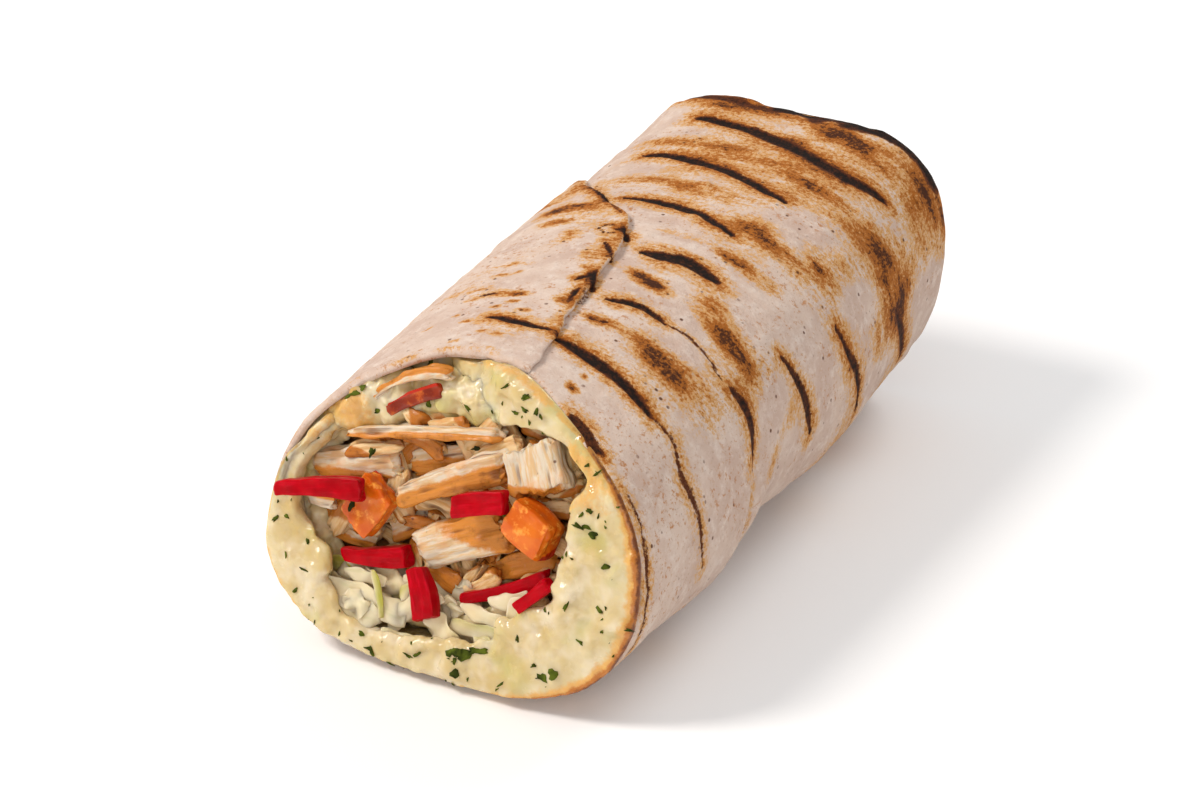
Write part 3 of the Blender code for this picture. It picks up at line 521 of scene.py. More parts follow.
def line_distance(angle, depth, line):
    """Distance in millimetres to a line given in degrees and millimetres, and how far along it, from 0 to 1.

    It is the least distance to the line's straight parts on the bread laid flat.
    """
    spots = np.array(line, float)
    spots[:, 0] = np.radians(spots[:, 0]) * MEAN_RADIUS
    best = np.full(angle.shape, 1e9)
    share = np.zeros(angle.shape)
    lengths = np.linalg.norm(np.diff(spots, axis=0), axis=1)
    starts = np.concatenate([[0], np.cumsum(lengths)])
    middle = np.radians(np.mean([p[0] for p in line]))
    around = (np.angle(np.exp(1j * (angle - middle))) + middle) * MEAN_RADIUS
    along_it = depth / MM
    for number, (first, last) in enumerate(zip(spots[:-1], spots[1:])):
        step = last - first
        part = ((around - first[0]) * step[0] + (along_it - first[1]) * step[1]) / (step @ step)
        part = np.clip(part, 0, 1)
        gap = np.hypot(around - first[0] - part * step[0], along_it - first[1] - part * step[1])
        nearer = gap < best
        best = np.where(nearer, gap, best)
        share = np.where(nearer, (starts[number] + part * lengths[number]) / starts[-1], share)
    return best, share


# ---------------------------------------------------------------- shapes


def grid_shape(rows, loop=False, **marks):
    """Quads between closed rows of points, with a fan over each end, or the last row joined to the first."""
    rows = np.asarray(rows, float)
    count, sides = rows.shape[:2]
    points = rows.reshape(-1, 3)
    i, j = np.meshgrid(np.arange(count if loop else count - 1), np.arange(sides), indexing="ij")
    i, j = i.ravel(), j.ravel()
    below, above, after = i * sides, (i + 1) % count * sides, (j + 1) % sides
    quads = np.stack([below + j, below + after, above + after, above + j], axis=1)
    tris = np.zeros((0, 3), int)
    if not loop:
        ring = np.arange(sides)
        following = (ring + 1) % sides
        last = (count - 1) * sides
        top = np.full(sides, len(points) + 1)
        bottom = np.full(sides, len(points))
        tris = np.concatenate([
            np.stack([following, ring, bottom], axis=1),
            np.stack([last + ring, last + following, top], axis=1),
        ])
        points = np.concatenate([points, rows[:1].mean(axis=1), rows[-1:].mean(axis=1)])
    kept = {}
    for name, values in marks.items():
        values = np.asarray(values, float)
        wide = values.shape[2:]
        flat = values.reshape(-1, *wide)
        if not loop:
            flat = np.concatenate([flat, values[:1].mean(axis=1), values[-1:].mean(axis=1)])
        kept[name] = flat
    return {"points": points, "quads": quads, "tris": tris, "marks": kept}


def outward(shape):
    """The shape with its faces turned so that its volume counts as positive."""
    p = shape["points"]
    q, t = shape["quads"], shape["tris"]
    corners = np.concatenate([q[:, [0, 1, 2]], q[:, [0, 2, 3]], t])
    volume = np.einsum("ij,ij->", p[corners[:, 0]], np.cross(p[corners[:, 1]], p[corners[:, 2]]))
    if volume < 0:
        shape["quads"] = q[:, ::-1]
        shape["tris"] = t[:, ::-1]
    return shape


def merged(shapes):
    """One shape of several, with their points, faces and marks end to end."""
    start = 0
    points, quads, tris = [], [], []
    for shape in shapes:
        points.append(shape["points"])
        quads.append(shape["quads"] + start)
        tris.append(shape["tris"] + start)
        start += len(shape["points"])
    marks = {
        name: np.concatenate([shape["marks"][name] for shape in shapes])
        for name in shapes[0]["marks"]
    }
    return {
        "points": np.concatenate(points),
        "quads": np.concatenate(quads),
        "tris": np.concatenate(tris),
        "marks": marks,
    }


def surface_normals(rows, loop=False):
    """Unit normals of a grid of points, from the two directions along it."""
    if loop:
        padded = np.concatenate([rows[-1:], rows, rows[:1]])
        lengthways = (padded[2:] - padded[:-2])
    else:
        lengthways = np.gradient(rows, axis=0)
    across = np.roll(rows, -1, axis=1) - np.roll(rows, 1, axis=1)
    normal = np.cross(across, lengthways)
    return normal / np.maximum(np.linalg.norm(normal, axis=-1, keepdims=True), 1e-12)


def add_piece(name, shape, finish, nodes=()):
    """A smooth mesh object of the shape at the origin, riding on the part and standing for its nodes."""
    mesh = bpy.data.meshes.new(name)
    points, quads, tris = shape["points"], shape["quads"], shape["tris"]
    mesh.vertices.add(len(points))
    mesh.vertices.foreach_set("co", points.astype(np.float32).ravel())
    corners = np.concatenate([quads.ravel(), tris.ravel()]).astype(np.int32)
    mesh.loops.add(len(corners))
    mesh.loops.foreach_set("vertex_index", corners)
    totals = np.concatenate([np.full(len(quads), 4), np.full(len(tris), 3)]).astype(np.int32)
    mesh.polygons.add(len(totals))
    mesh.polygons.foreach_set("loop_start", np.concatenate([[0], np.cumsum(totals)[:-1]]).astype(np.int32))
    mesh.polygons.foreach_set("loop_total", totals)
    mesh.update(calc_edges=True)
    for key, values in shape["marks"].items():
        kind, field = ("FLOAT_VECTOR", "vector") if values.ndim == 2 else ("FLOAT", "value")
        layer = mesh.attributes.new(key, kind, "POINT")
        layer.data.foreach_set(field, values.astype(np.float32).ravel())
    mesh.shade_smooth()
    mesh.materials.append(finish)
    made = bpy.data.objects.new(name, mesh)
    bpy.context.scene.collection.objects.link(made)
    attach(made, "root")
    if nodes:
        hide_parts(*nodes)
    return made


# ---------------------------------------------------------------- materials


def colour(code):
    """Linear colour of an sRGB hex code."""
    parts = [int(code[i : i + 2], 16) / 255 for i in (1, 3, 5)]
    return tuple(p / 12.92 if p <= 0.04045 else ((p + 0.055) / 1.055) ** 2.4 for p in parts) + (1.0,)


def connect(tree, node, **values):
    """Gives a node's inputs their values, or links to them; i0, i1 and so on are inputs by number."""
    for key, value in values.items():
        socket = node.inputs[int(key[1:]) if key[1:].isdigit() else key.replace("_", " ")]
        if isinstance(value, bpy.types.NodeSocket):
            tree.links.new(value, socket)
        else:
            socket.default_value = value


def add(tree, kind, out=0, **values):
    """A new shader node with its settings and inputs, given as one of its outputs."""
    made = tree.nodes.new("ShaderNode" + kind)
    for key in [key for key in values if hasattr(made, key)]:
        setattr(made, key, values.pop(key))
    connect(tree, made, **values)
    return made.outputs[out]


def stained(tree, base, code, value, low, high, most=1.0):
    """The base colour, stained with another as the value goes from low to high."""
    share = add(tree, "MapRange", **EASED, i0=value, i1=low, i2=high, i4=most)
    return add(tree, "Mix", 2, data_type="RGBA", i0=share, i6=base, i7=colour(code))


def mottled(tree, place, base, code, size_mm, low, high, most=1.0, **fineness):
    """The base colour, stained with another in clouds of a size."""
    cloud = add(tree, "TexNoise", Vector=place, Scale=1000 / size_mm, **{**CLOUD, **fineness})
    return stained(tree, base, code, cloud, low, high, most)


def patches(tree, place, size_mm, low, high, start=0.0, end=1.0, **fineness):
    """A value that goes from start to end in clouds of a size."""
    cloud = add(tree, "TexNoise", Vector=place, Scale=1000 / size_mm, **{**CLOUD, **fineness})
    return add(tree, "MapRange", **EASED, i0=cloud, i1=low, i2=high, i3=start, i4=end)


def uneven(tree, place, size_mm, gain, **fineness):
    """A cloudy value about zero."""
    cloud = add(tree, "TexNoise", Vector=place, Scale=1000 / size_mm, **{**CLOUD, **fineness})
    around_zero = add(tree, "Math", operation="SUBTRACT", i0=cloud, i1=0.5)
    return add(tree, "Math", operation="MULTIPLY", i0=around_zero, i1=gain)


def specked(tree, place, base, code, apart_mm, big, small, patch_mm, low, high, most):
    """The base colour with round specks of another, some way apart and shown in patches only."""
    gap = add(tree, "TexVoronoi", "Distance", Vector=place, Scale=1000 / apart_mm)
    dot = add(tree, "MapRange", **EASED, i0=gap, i1=big, i2=small)
    shown = patches(tree, place, patch_mm, low, high, 0.0, most)
    share = add(tree, "Math", operation="MULTIPLY", i0=dot, i1=shown)
    return add(tree, "Mix", 2, data_type="RGBA", i0=share, i6=base, i7=colour(code))


def new_material(name):
    """An empty material with its node tree, its shader and the piece's own coordinates."""
    made = bpy.data.materials.new(name)
    made.use_nodes = True
    tree = made.node_tree
    return made, tree, tree.nodes["Principled BSDF"], add(tree, "TexCoord", "Object")


def flatbread_material():
    """Thin wheat flatbread baked dry and pressed on a hot grill: floury, matt, toasted, charred in bars."""
    made, tree, shader, place = new_material("grilled wheat flatbread")
    char = add(tree, "Attribute", "Fac", attribute_name="char")
    toast = add(tree, "Attribute", "Fac", attribute_name="toast")
    pale = mottled(tree, place, colour("#D2BBAB"), "#C4A999", 11, 0.35, 0.65)
    pale = mottled(tree, place, pale, "#D9C7BA", 3.0, 0.45, 0.70, Detail=6, Roughness=0.75)
    pale = mottled(tree, place, pale, "#AE8F7A", 0.9, 0.42, 0.30, Detail=5, Roughness=0.8)
    dusky = patches(tree, place, 13, 0.38, 0.62, 0.15)
    dusky = add(tree, "Math", operation="MULTIPLY_ADD", i0=toast, i1=1.6, i2=dusky)
    dusky = add(tree, "MapRange", **EASED, i0=dusky, i1=0.2, i2=1.1, i4=0.8)
    freckles = patches(tree, place, 1.3, 0.545, 0.615, Detail=6, Roughness=0.8)
    freckles = add(tree, "Math", operation="MULTIPLY", i0=freckles, i1=dusky)
    base = add(tree, "Mix", 2, data_type="RGBA", i0=freckles, i6=pale, i7=colour("#B0702F"))
    drawn_out = add(tree, "VectorMath", operation="MULTIPLY", i0=place, i1=(0.35, 1.4, 0.35))
    streaks = uneven(tree, drawn_out, 4.2, 1.9, Detail=8, Roughness=0.75)
    ragged = uneven(tree, place, 0.9, 3.0, Detail=6, Roughness=0.8)
    ragged = add(tree, "Math", operation="ADD", i0=streaks, i1=ragged)
    allowed = add(tree, "MapRange", **EASED, i0=toast, i1=0.02, i2=0.35)
    toasted = add(tree, "Math", operation="MULTIPLY_ADD", i0=ragged, i1=allowed, i2=toast)
    burnt = uneven(tree, place, 1.1, 2.0, Detail=7, Roughness=0.8)
    burnt = add(tree, "Math", operation="ADD", i0=char, i1=burnt)
    for code, value, low, high in (
        ("#CC9B62", toasted, 0.10, 0.40),
        ("#A55F1E", toasted, 0.42, 0.80),
        ("#43200B", toasted, 0.90, 1.35),
        ("#5A2B0F", burnt, 0.22, 0.50),
        ("#170A04", burnt, 0.50, 1.05),
    ):
        base = stained(tree, base, code, value, low, high)
    base = specked(tree, place, base, "#572C0F", 2.9, 0.16, 0.09, 6.1, 0.45, 0.6, 0.9)
    floury = uneven(tree, place, 0.7, 1.0, Detail=5, Roughness=0.65)
    floury = add(tree, "Math", operation="ADD", i0=floury, i1=uneven(tree, place, 3, 1.5, Detail=4))
    connect(
        tree, shader, Base_Color=base, Roughness=0.85, IOR=1.42, Specular_IOR_Level=0.22,
        Normal=add(tree, "Bump", Height=floury, Distance=0.24 * MM, Strength=0.9),
        Subsurface_Weight=0.05, Subsurface_Radius=(1.0, 0.7, 0.45), Subsurface_Scale=1.2 * MM,
    )
    return made


def cheese_material():
    """Processed cheese melted into garlic sauce: soft, wet and a little clear, browned beside the bread, with
    painted highlights in light clouds.
    """
    made, tree, shader, place = new_material("melted cheese and garlic sauce")
    edge = add(tree, "Attribute", "Fac", attribute_name="edge")
    body = mottled(tree, place, colour("#D6C398"), "#C9AF75", 8, 0.30, 0.70, Detail=2)
    # Light cream clouds: painted highlights on the cheese.
    body = mottled(tree, place, body, "#E2D4B9", 4.6, 0.42, 0.78, 0.8, Detail=2, Roughness=0.5)
    body = mottled(tree, place, body, "#BDB063", 9, 0.50, 0.70, 0.7, Detail=2)
    browned = uneven(tree, place, 2.6, 1.1, Detail=6, Roughness=0.7)
    browned = add(tree, "Math", operation="ADD", i0=edge, i1=browned)
    for code, low, high in (("#DBA95F", 0.30, 0.65), ("#B9732B", 0.68, 0.98), ("#6E3A16", 1.05, 1.35)):
        body = stained(tree, body, code, browned, low, high)
    soft = uneven(tree, place, 1.5, 0.5, Detail=2, Roughness=0.5)
    soft = add(tree, "Math", operation="ADD", i0=soft, i1=uneven(tree, place, 4, 1.6, Detail=2))
    connect(
        tree, shader, Base_Color=body, Roughness=patches(tree, place, 3.5, 0.35, 0.7, 0.12, 0.32), IOR=1.44,
        Normal=add(tree, "Bump", Height=soft, Distance=0.5 * MM, Strength=0.9),
        Subsurface_Weight=0.55, Subsurface_Radius=(1.0, 0.8, 0.45), Subsurface_Scale=3.0 * MM,
    )
    return made


def chicken_material(name, pale, shade, seared, dark):
    """Spit-roast chicken: dry pale fibres where it was cut, browned and oily on its outside, with painted
    shade in the grooves between its fibres.
    """
    made, tree, shader, place = new_material(name)
    sear = add(tree, "Attribute", "Fac", attribute_name="sear")
    groove = add(tree, "Attribute", "Fac", attribute_name="groove")
    grain = add(tree, "Attribute", "Vector", attribute_name="grain")
    fibre = add(tree, "TexNoise", Vector=grain, Scale=1.0, Detail=4, Roughness=0.6)
    roasted = uneven(tree, place, 2.8, 1.3, Detail=5, Roughness=0.65)
    roasted = add(tree, "Math", operation="ADD", i0=sear, i1=roasted)
    meat = stained(tree, colour(pale), shade, fibre, 0.40, 0.62)
    meat = mottled(tree, place, meat, "#DDA06A", 5, 0.5, 0.75, 0.6)
    meat = stained(tree, meat, seared, roasted, 0.34, 0.72)
    meat = stained(tree, meat, dark, roasted, 0.98, 1.45)
    # Painted shade in the grooves between the fibres.
    meat = stained(tree, meat, dark, groove, 0.45, 1.0, 0.75)
    meat = specked(tree, place, meat, dark, 2.2, 0.17, 0.08, 2.9, 0.52, 0.62, 0.8)
    connect(
        tree, shader, Base_Color=meat, IOR=1.42, Specular_IOR_Level=0.4,
        Roughness=add(tree, "MapRange", **EASED, i0=roasted, i1=0.2, i2=0.9, i3=0.50, i4=0.26),
        Normal=add(tree, "Bump", Height=fibre, Distance=0.35 * MM, Strength=0.9),
        Subsurface_Weight=0.25, Subsurface_Radius=(1.0, 0.5, 0.3), Subsurface_Scale=1.8 * MM,
    )
    return made


def turnip_material():
    """Turnip pickled with beetroot: crisp, wet and clear, crimson all through with faint veins."""
    made, tree, shader, place = new_material("beetroot-pickled turnip")
    grain = add(tree, "Attribute", "Vector", attribute_name="grain")
    veins = add(tree, "TexNoise", Vector=grain, Scale=1.0, Detail=3, Roughness=0.6)
    flesh = mottled(tree, place, colour("#B80012"), "#9A000C", 3.5, 0.3, 0.7)
    flesh = stained(tree, flesh, "#DC1430", veins, 0.5, 0.75, 0.4)
    connect(
        tree, shader, Base_Color=flesh, Roughness=0.3, IOR=1.36, Specular_IOR_Level=0.1,
        Normal=add(tree, "Bump", Height=veins, Distance=0.14 * MM, Strength=0.6),
        Coat_Weight=0.08, Coat_Roughness=0.12,
        Subsurface_Weight=0.2, Subsurface_Radius=(1.0, 0.03, 0.04), Subsurface_Scale=1.6 * MM,
    )
    return made


def tomato_material(name, flesh_colour, deep, vein):
    """Ripe tomato warmed by the filling: wet clear flesh with pale veins, and a tight darker skin."""
    made, tree, shader, place = new_material(name)
    skin = add(tree, "Attribute", "Fac", attribute_name="sear")
    flesh = mottled(tree, place, colour(flesh_colour), deep, 4.5, 0.35, 0.65)
    flesh = mottled(tree, place, flesh, vein, 1.8, 0.52, 0.72, Detail=4, Roughness=0.6)
    flesh = stained(tree, flesh, "#B3260A", skin, 0.35, 0.6)
    pulp = uneven(tree, place, 1.1, 1.0)
    connect(
        tree, shader, Base_Color=flesh, Roughness=0.22, IOR=1.35, Specular_IOR_Level=0.4,
        Normal=add(tree, "Bump", Height=pulp, Distance=0.16 * MM, Strength=0.6),
        Coat_Weight=0.25, Coat_Roughness=0.08,
        Subsurface_Weight=0.3, Subsurface_Radius=(1.0, 0.22, 0.05), Subsurface_Scale=2.0 * MM,
    )
    return made


def cabbage_material():
    """Raw white cabbage cut thin: crisp, moist, half clear, white at the rib and green at the leaf's edge."""
    made, tree, shader, place = new_material("shredded white cabbage")
    green = add(tree, "Attribute", "Fac", attribute_name="green")
    grain = add(tree, "Attribute", "Vector", attribute_name="grain")
    veins = add(tree, "TexNoise", Vector=grain, Scale=1.0, Detail=3, Roughness=0.5)
    # The green mark is the leaf's own green on the strips and painted shade on the mound's core.
    leaf = stained(tree, colour("#E8D4AC"), "#A5A23A", green, 0.15, 1.0)
    leaf = stained(tree, leaf, "#CFC68A", veins, 0.5, 0.75, 0.4)
    leaf = mottled(tree, place, leaf, "#DCBF94", 6, 0.48, 0.72, 0.6)
    connect(
        tree, shader, Base_Color=leaf, Roughness=0.32, IOR=1.38,
        Normal=add(tree, "Bump", Height=veins, Distance=0.12 * MM, Strength=0.5),
        Subsurface_Weight=0.6, Subsurface_Radius=(1.0, 0.9, 0.7), Subsurface_Scale=3.0 * MM,
    )
    return made


def herb_material():
    """Dried parsley and dill: brittle, matt and dark green, turning olive at the edges."""
    made, tree, shader, place = new_material("dried parsley and dill")
    leaf = mottled(tree, place, colour("#2C340A"), "#59641C", 2.4, 0.35, 0.65)
    leaf = mottled(tree, place, leaf, "#1C1D08", 9, 0.55, 0.75)
    crinkle = uneven(tree, place, 0.5, 1.0)
    connect(
        tree, shader, Base_Color=leaf, Roughness=0.75, IOR=1.45, Specular_IOR_Level=0.1,
        Normal=add(tree, "Bump", Height=crinkle, Distance=0.08 * MM, Strength=0.6),
    )
    return made


def floor_material():
    """Matt white studio paper."""
    made, tree, shader, place = new_material("white studio paper")
    paper = mottled(tree, place, colour("#FFFFFF"), "#FCFCFC", 400, 0.3, 0.7)
    connect(tree, shader, Base_Color=paper, Roughness=0.9)
    return made


# ---------------------------------------------------------------- pieces


def underside_marks():
    """Bars across the underside, one at each of its places, with uneven ends and every second one bowed."""
    marks = []
    for number, place in enumerate(UNDERSIDE_MARKS):
        start, end = -55 - 7 * (number % 3), -128 + 9 * (number % 2)
        middle = ((start + end) / 2, place + 1.5 * (number % 2))
        marks.append((((start, place), middle, (end, place + 1)), 1.1, 0.85))
    return marks


def bread_marks(angle, depth):
    """Charring and toasting of the bread, from 0 up, at places on it.

    A bar is full within its tapered half width and falls smoothly to 0, in a brown halo that fades away.
    Patches of toast are bell-shaped, pale patches take toast away, and cloudy noise fills the rest.
    """
    spots = roll_points(angle, depth, 0.0)
    wander = 1.1 * value_noise(spots, 6 * MM, 21)
    char = np.zeros(angle.shape)
    toast = np.zeros(angle.shape)
    for line, half_width, strength in (*GRILL_MARKS, *underside_marks()):
        gap, share = line_distance(angle, depth, line)
        reach = 1.3 * half_width * (0.3 + 0.7 * np.sin(np.pi * np.clip(share * 0.94 + 0.03, 0, 1)) ** 0.6)
        gap = gap + 0.22 * wander
        char = np.maximum(char, strength * (1 - smooth(gap, 0.55 * reach, 1.45 * reach)))
        beyond = np.maximum(gap - reach, 0) / (1.2 + 1.2 * half_width)
        brown = 0.78 * strength * (0.55 + 0.45 * min(half_width, 1.0))
        toast = np.maximum(toast, brown * np.exp(-(beyond**1.3)))
    for degrees, place, reach_round, reach_along, strength in TOAST_PATCHES:
        away = patch_distance(angle, depth, degrees, place, reach_round, reach_along)
        toast = toast + strength * 0.95 * np.exp(-away) * (1 + 0.5 * value_noise(spots, 4 * MM, 22))
    top = smooth(np.cos(angle - math.radians(75)), 0.0, 0.8)
    wide = layered_noise(spots, 17 * MM, 23)
    far = smooth(depth / MM, 66, 125)
    toast = toast + np.clip(wide + 0.25, 0, 1) * (0.17 + 0.30 * far) * (0.35 + 0.65 * top)
    for degrees, place, reach_round, reach_along in PALE_PATCHES:
        away = patch_distance(angle, depth, degrees, place, reach_round, reach_along)
        toast = toast * (1 - 0.85 * np.exp(-(away**1.5)))
    rim = smooth(depth / MM + 1.6 * value_noise(spots, 3.5 * MM, 27), 143.8, 147.2)
    facing = np.cos(angle - math.radians(66))
    rim_char = smooth(facing + 0.2 * value_noise(spots, 6 * MM, 24), 0.72, 0.90)
    char = np.maximum(char, rim * rim_char)
    toast = toast + rim * smooth(facing, 0.3, 0.85) * (0.6 + 0.4 * value_noise(spots, 7 * MM, 25))
    lip = 1 - smooth(depth / MM, 0.2, 1.8)
    toast = toast + lip * (0.08 + 0.42 * value_noise(spots, 4 * MM, 26))
    return np.clip(char, 0, 1), np.clip(toast, 0, 1.4)


def bread_relief(angle, depth, spots):
    """Height of wrinkles, blisters and creases, in metres: layered noise, domes and grooves with a lip."""
    height = np.zeros(angle.shape)
    for degrees, reach, start, rise in FAR_CORNERS:
        corner = turn_from(angle, degrees) / math.radians(reach)
        height = height + rise * smooth(depth / MM, start, 149) * np.exp(-(corner**2))
    height = height + 0.20 * layered_noise(spots, 8 * MM, 31, 2) + 0.10 * value_noise(spots, 2.4 * MM, 34)
    height = height + 0.045 * value_noise(spots, 1.1 * MM, 35)
    draws = np.random.default_rng(5)
    for _ in range(BLISTERS):
        middle = draws.uniform(-100, 240)
        place = draws.uniform(4, 146)
        reach = draws.uniform(1.0, 2.8)
        rise = draws.uniform(0.12, 0.4)
        away = patch_distance(angle, depth, middle, place, reach, reach * draws.uniform(0.7, 1.5))
        height = height + rise * np.exp(-(away**1.4))
    for line, reach, drop in CREASES:
        gap, share = line_distance(angle, depth, line)
        fade = np.sin(np.pi * np.clip(share, 0.03, 0.97)) ** 0.7
        height = height - drop * fade * np.exp(-((gap / reach) ** 2))
        height = height + 0.35 * drop * fade * np.exp(-(((gap - 1.7 * reach) / reach) ** 2))
    return height * MM


def bread_columns():
    """Steps round the roll from the loose edge, closer where it shows, and how high the last few climb it."""
    once_round = np.linspace(0, 1, BREAD_ROUND)
    steps = np.interp(once_round, (0, 0.25, 0.52, 1), (0, 1.22, 4.05, 2 * np.pi - 0.035))
    under_edge = 2 * np.pi + np.array([-0.022, -0.010, -0.002, -0.010, -0.016, -0.012])
    curl = np.array([0.0, 0.03, 0.16, 0.42, 0.72, 0.93])
    return np.concatenate([steps, under_edge]), np.concatenate([np.full(BREAD_ROUND, np.nan), curl])


def bread_rows(length):
    """Depths of the rows and their shares of the radius: straight, a quarter circle, and over the end."""
    straight = np.linspace(0, 1, BREAD_ALONG) ** 0.97 * (length - END_ROUNDING)
    turns = np.radians(np.linspace(10, 90, 7))
    rounded = length - END_ROUNDING * (1 - np.sin(turns))
    drawn_in = 1 - END_ROUNDING * (1 - np.cos(turns)) / (MEAN_END_RADIUS * MM)
    over_end = np.append(np.linspace(0.965, 0.1, 30), 0.05)
    depths = np.concatenate([straight, rounded, np.full(len(over_end), length)])
    return depths, np.concatenate([np.ones(len(straight)), drawn_in, over_end])


def shape_end(points, spots, angle, depth, shrink, char, toast):
    """Moves the points of the shut end, and gives the charring and toasting with the end's own.

    A waved step crosses it where the bread is tucked in, with pleats round it, noise and a shallow dish.
    """
    flatness = smooth(1 - shrink, 0.0, 0.12)
    across, up = points[..., 0] / MM, points[..., 2] / MM
    fold = np.tanh((up - 30 + 0.35 * across + 1.5 * np.sin(across / 7)) / 1.1)
    pleats = np.sin(11 * angle + 2.2 * np.sin(3 * angle)) * smooth(shrink, 0.35, 0.95)
    points[..., 1] += flatness * ((END_TUCK * (1 - shrink) + 0.5 * MM) * fold * 0.9 - 0.9 * MM)
    points[..., 1] += flatness * (0.45 * MM * pleats + 0.35 * MM * layered_noise(points, 6 * MM, 47))
    off_centre = ((up - sizes().height_end / 2 / MM) / 13) ** 2 + (across / 17) ** 2
    points[..., 1] -= flatness * 1.2 * MM * np.exp(-off_centre)
    rim = smooth(depth / MM, 144, 149.5) * (shrink > 0.97)
    points[..., 2] += rim * smooth(np.sin(angle), 0.2, 0.9) * 0.7 * MM * layered_noise(spots, 5 * MM, 48, 2)
    on_end = shrink < 0.985
    end_toast = 0.35 + 0.5 * layered_noise(points, 12 * MM, 49) + 0.25 * (pleats > 0.4)
    toast = np.where(on_end, end_toast * smooth(shrink, 0.2, 0.9) + 0.25, toast)
    end_char = 0.9 * smooth(layered_noise(points, 9 * MM, 50), 0.55, 0.95) * smooth(shrink, 0.2, 0.5)
    char = np.where(on_end, end_char, char)
    return char, toast


def make_flatbread():
    """Outer wall with its loose edge, the tucked end, and the inside of the wall back to the mouth.

    The grid runs round the roll from the loose edge and along it; its last columns curl under that edge.
    """
    length, thickness = sizes().roll_length, sizes().bread_thickness
    steps, curl = bread_columns()
    depths, shrinks = bread_rows(length)
    depth, step = np.meshgrid(depths, steps, indexing="ij")
    shrink = np.broadcast_to(shrinks[:, None], depth.shape)
    along_edge = np.stack([depth, np.zeros_like(depth), np.zeros_like(depth)], axis=-1)
    ragged = 0.018 * layered_noise(along_edge, 5 * MM, 41, 2)
    angle = flap_angle(depth) + step + ragged * (np.clip(1 - step / 0.6, 0, 1) + smooth(step, 5.8, 6.2))
    fade = np.clip(1 - step / FLAP_FADES_OVER, 0, 1)
    near = np.interp(depth / MM, (0, 40, 110, 145), (0.5, 1, 1, 0))
    rise = FLAP_THICKNESS * near * fade * (3 - 2 * fade) * fade
    edge_rise = FLAP_THICKNESS * near * np.broadcast_to(np.nan_to_num(curl), depth.shape)
    rise = np.where(np.isnan(curl)[None, :], rise, edge_rise)
    lifted = 0.25 * MM * np.exp(-((step / 0.10) ** 2)) * (0.5 + 0.5 * value_noise(along_edge, 9 * MM, 43))
    spots = roll_points(angle, depth, 0.0, shrink)
    relief = bread_relief(angle, depth, spots)
    char, toast = bread_marks(angle, depth)
    edging = np.exp(-((step / 0.03) ** 2)) + (step > 6.24)
    corners = smooth(layered_noise(along_edge, 7 * MM, 44, 2), 0.15, 0.6)
    char = np.maximum(char, 0.35 * np.clip(edging, 0, 1) * corners * smooth(depth / MM, 22, 34))
    # The browning along the loose edge is partly toasting of its thin edge and partly painted shade that
    # darkens the edge's lit side.
    toast = toast + 0.5 * np.exp(-((step / 0.07) ** 2)) * smooth(depth / MM, 5, 30)
    under = smooth(spots[..., 2] / MM, 0.3, 5.0)
    relief = relief * (0.15 + 0.85 * under) - 0.30 * MM * char * (shrink > 0.99) * under
    points = roll_points(angle, depth, -rise - relief - lifted * near, shrink)
    lip = np.clip(1 - depth / LIP_DEPTH, 0, 1)
    torn = 0.7 * layered_noise(spots, 6 * MM, 45, 2) + 0.3 * value_noise(spots, 2.2 * MM, 46)
    points[..., 1] += lip * torn * MM
    char, toast = shape_end(points, spots, angle, depth, shrink, char, toast)

    inner_depths = (np.linspace(1, 0, 26) ** 1.6 * (length - 2 * thickness - 1 * MM))[:, None]
    inner_angle = angle[0][None, :]
    inside = roll_points(inner_angle, inner_depths, thickness * 0.85)
    moved = points[0, :, 1] - roll_points(angle[0], 0.0, 0.0)[..., 1]
    inside[..., 1] += np.clip(1 - inner_depths / LIP_DEPTH, 0, 1) * moved
    end_rings = np.array([0.1, 0.5, 0.85])[:, None]
    hidden = roll_points(inner_angle, length - thickness - 2 * MM, thickness, end_rings)
    hidden[..., 1] = length / 2 - thickness - 3 * MM
    edge = (points[:1] + inside[-1:]) / 2 + [0, -0.35 * MM, 0]
    rows = np.concatenate([points[::-1], edge, inside[::-1], hidden[::-1]])
    extra = len(rows) - len(points)
    lip_toast = np.full((extra, len(steps)), 0.12)
    char = np.concatenate([char[::-1], np.zeros((extra, len(steps)))])
    toast = np.concatenate([toast[::-1], lip_toast])
    shape = outward(grid_shape(rows, char=char, toast=toast))
    return add_piece("grilled_flatbread", shape, flatbread_material(), ("flatbread",))


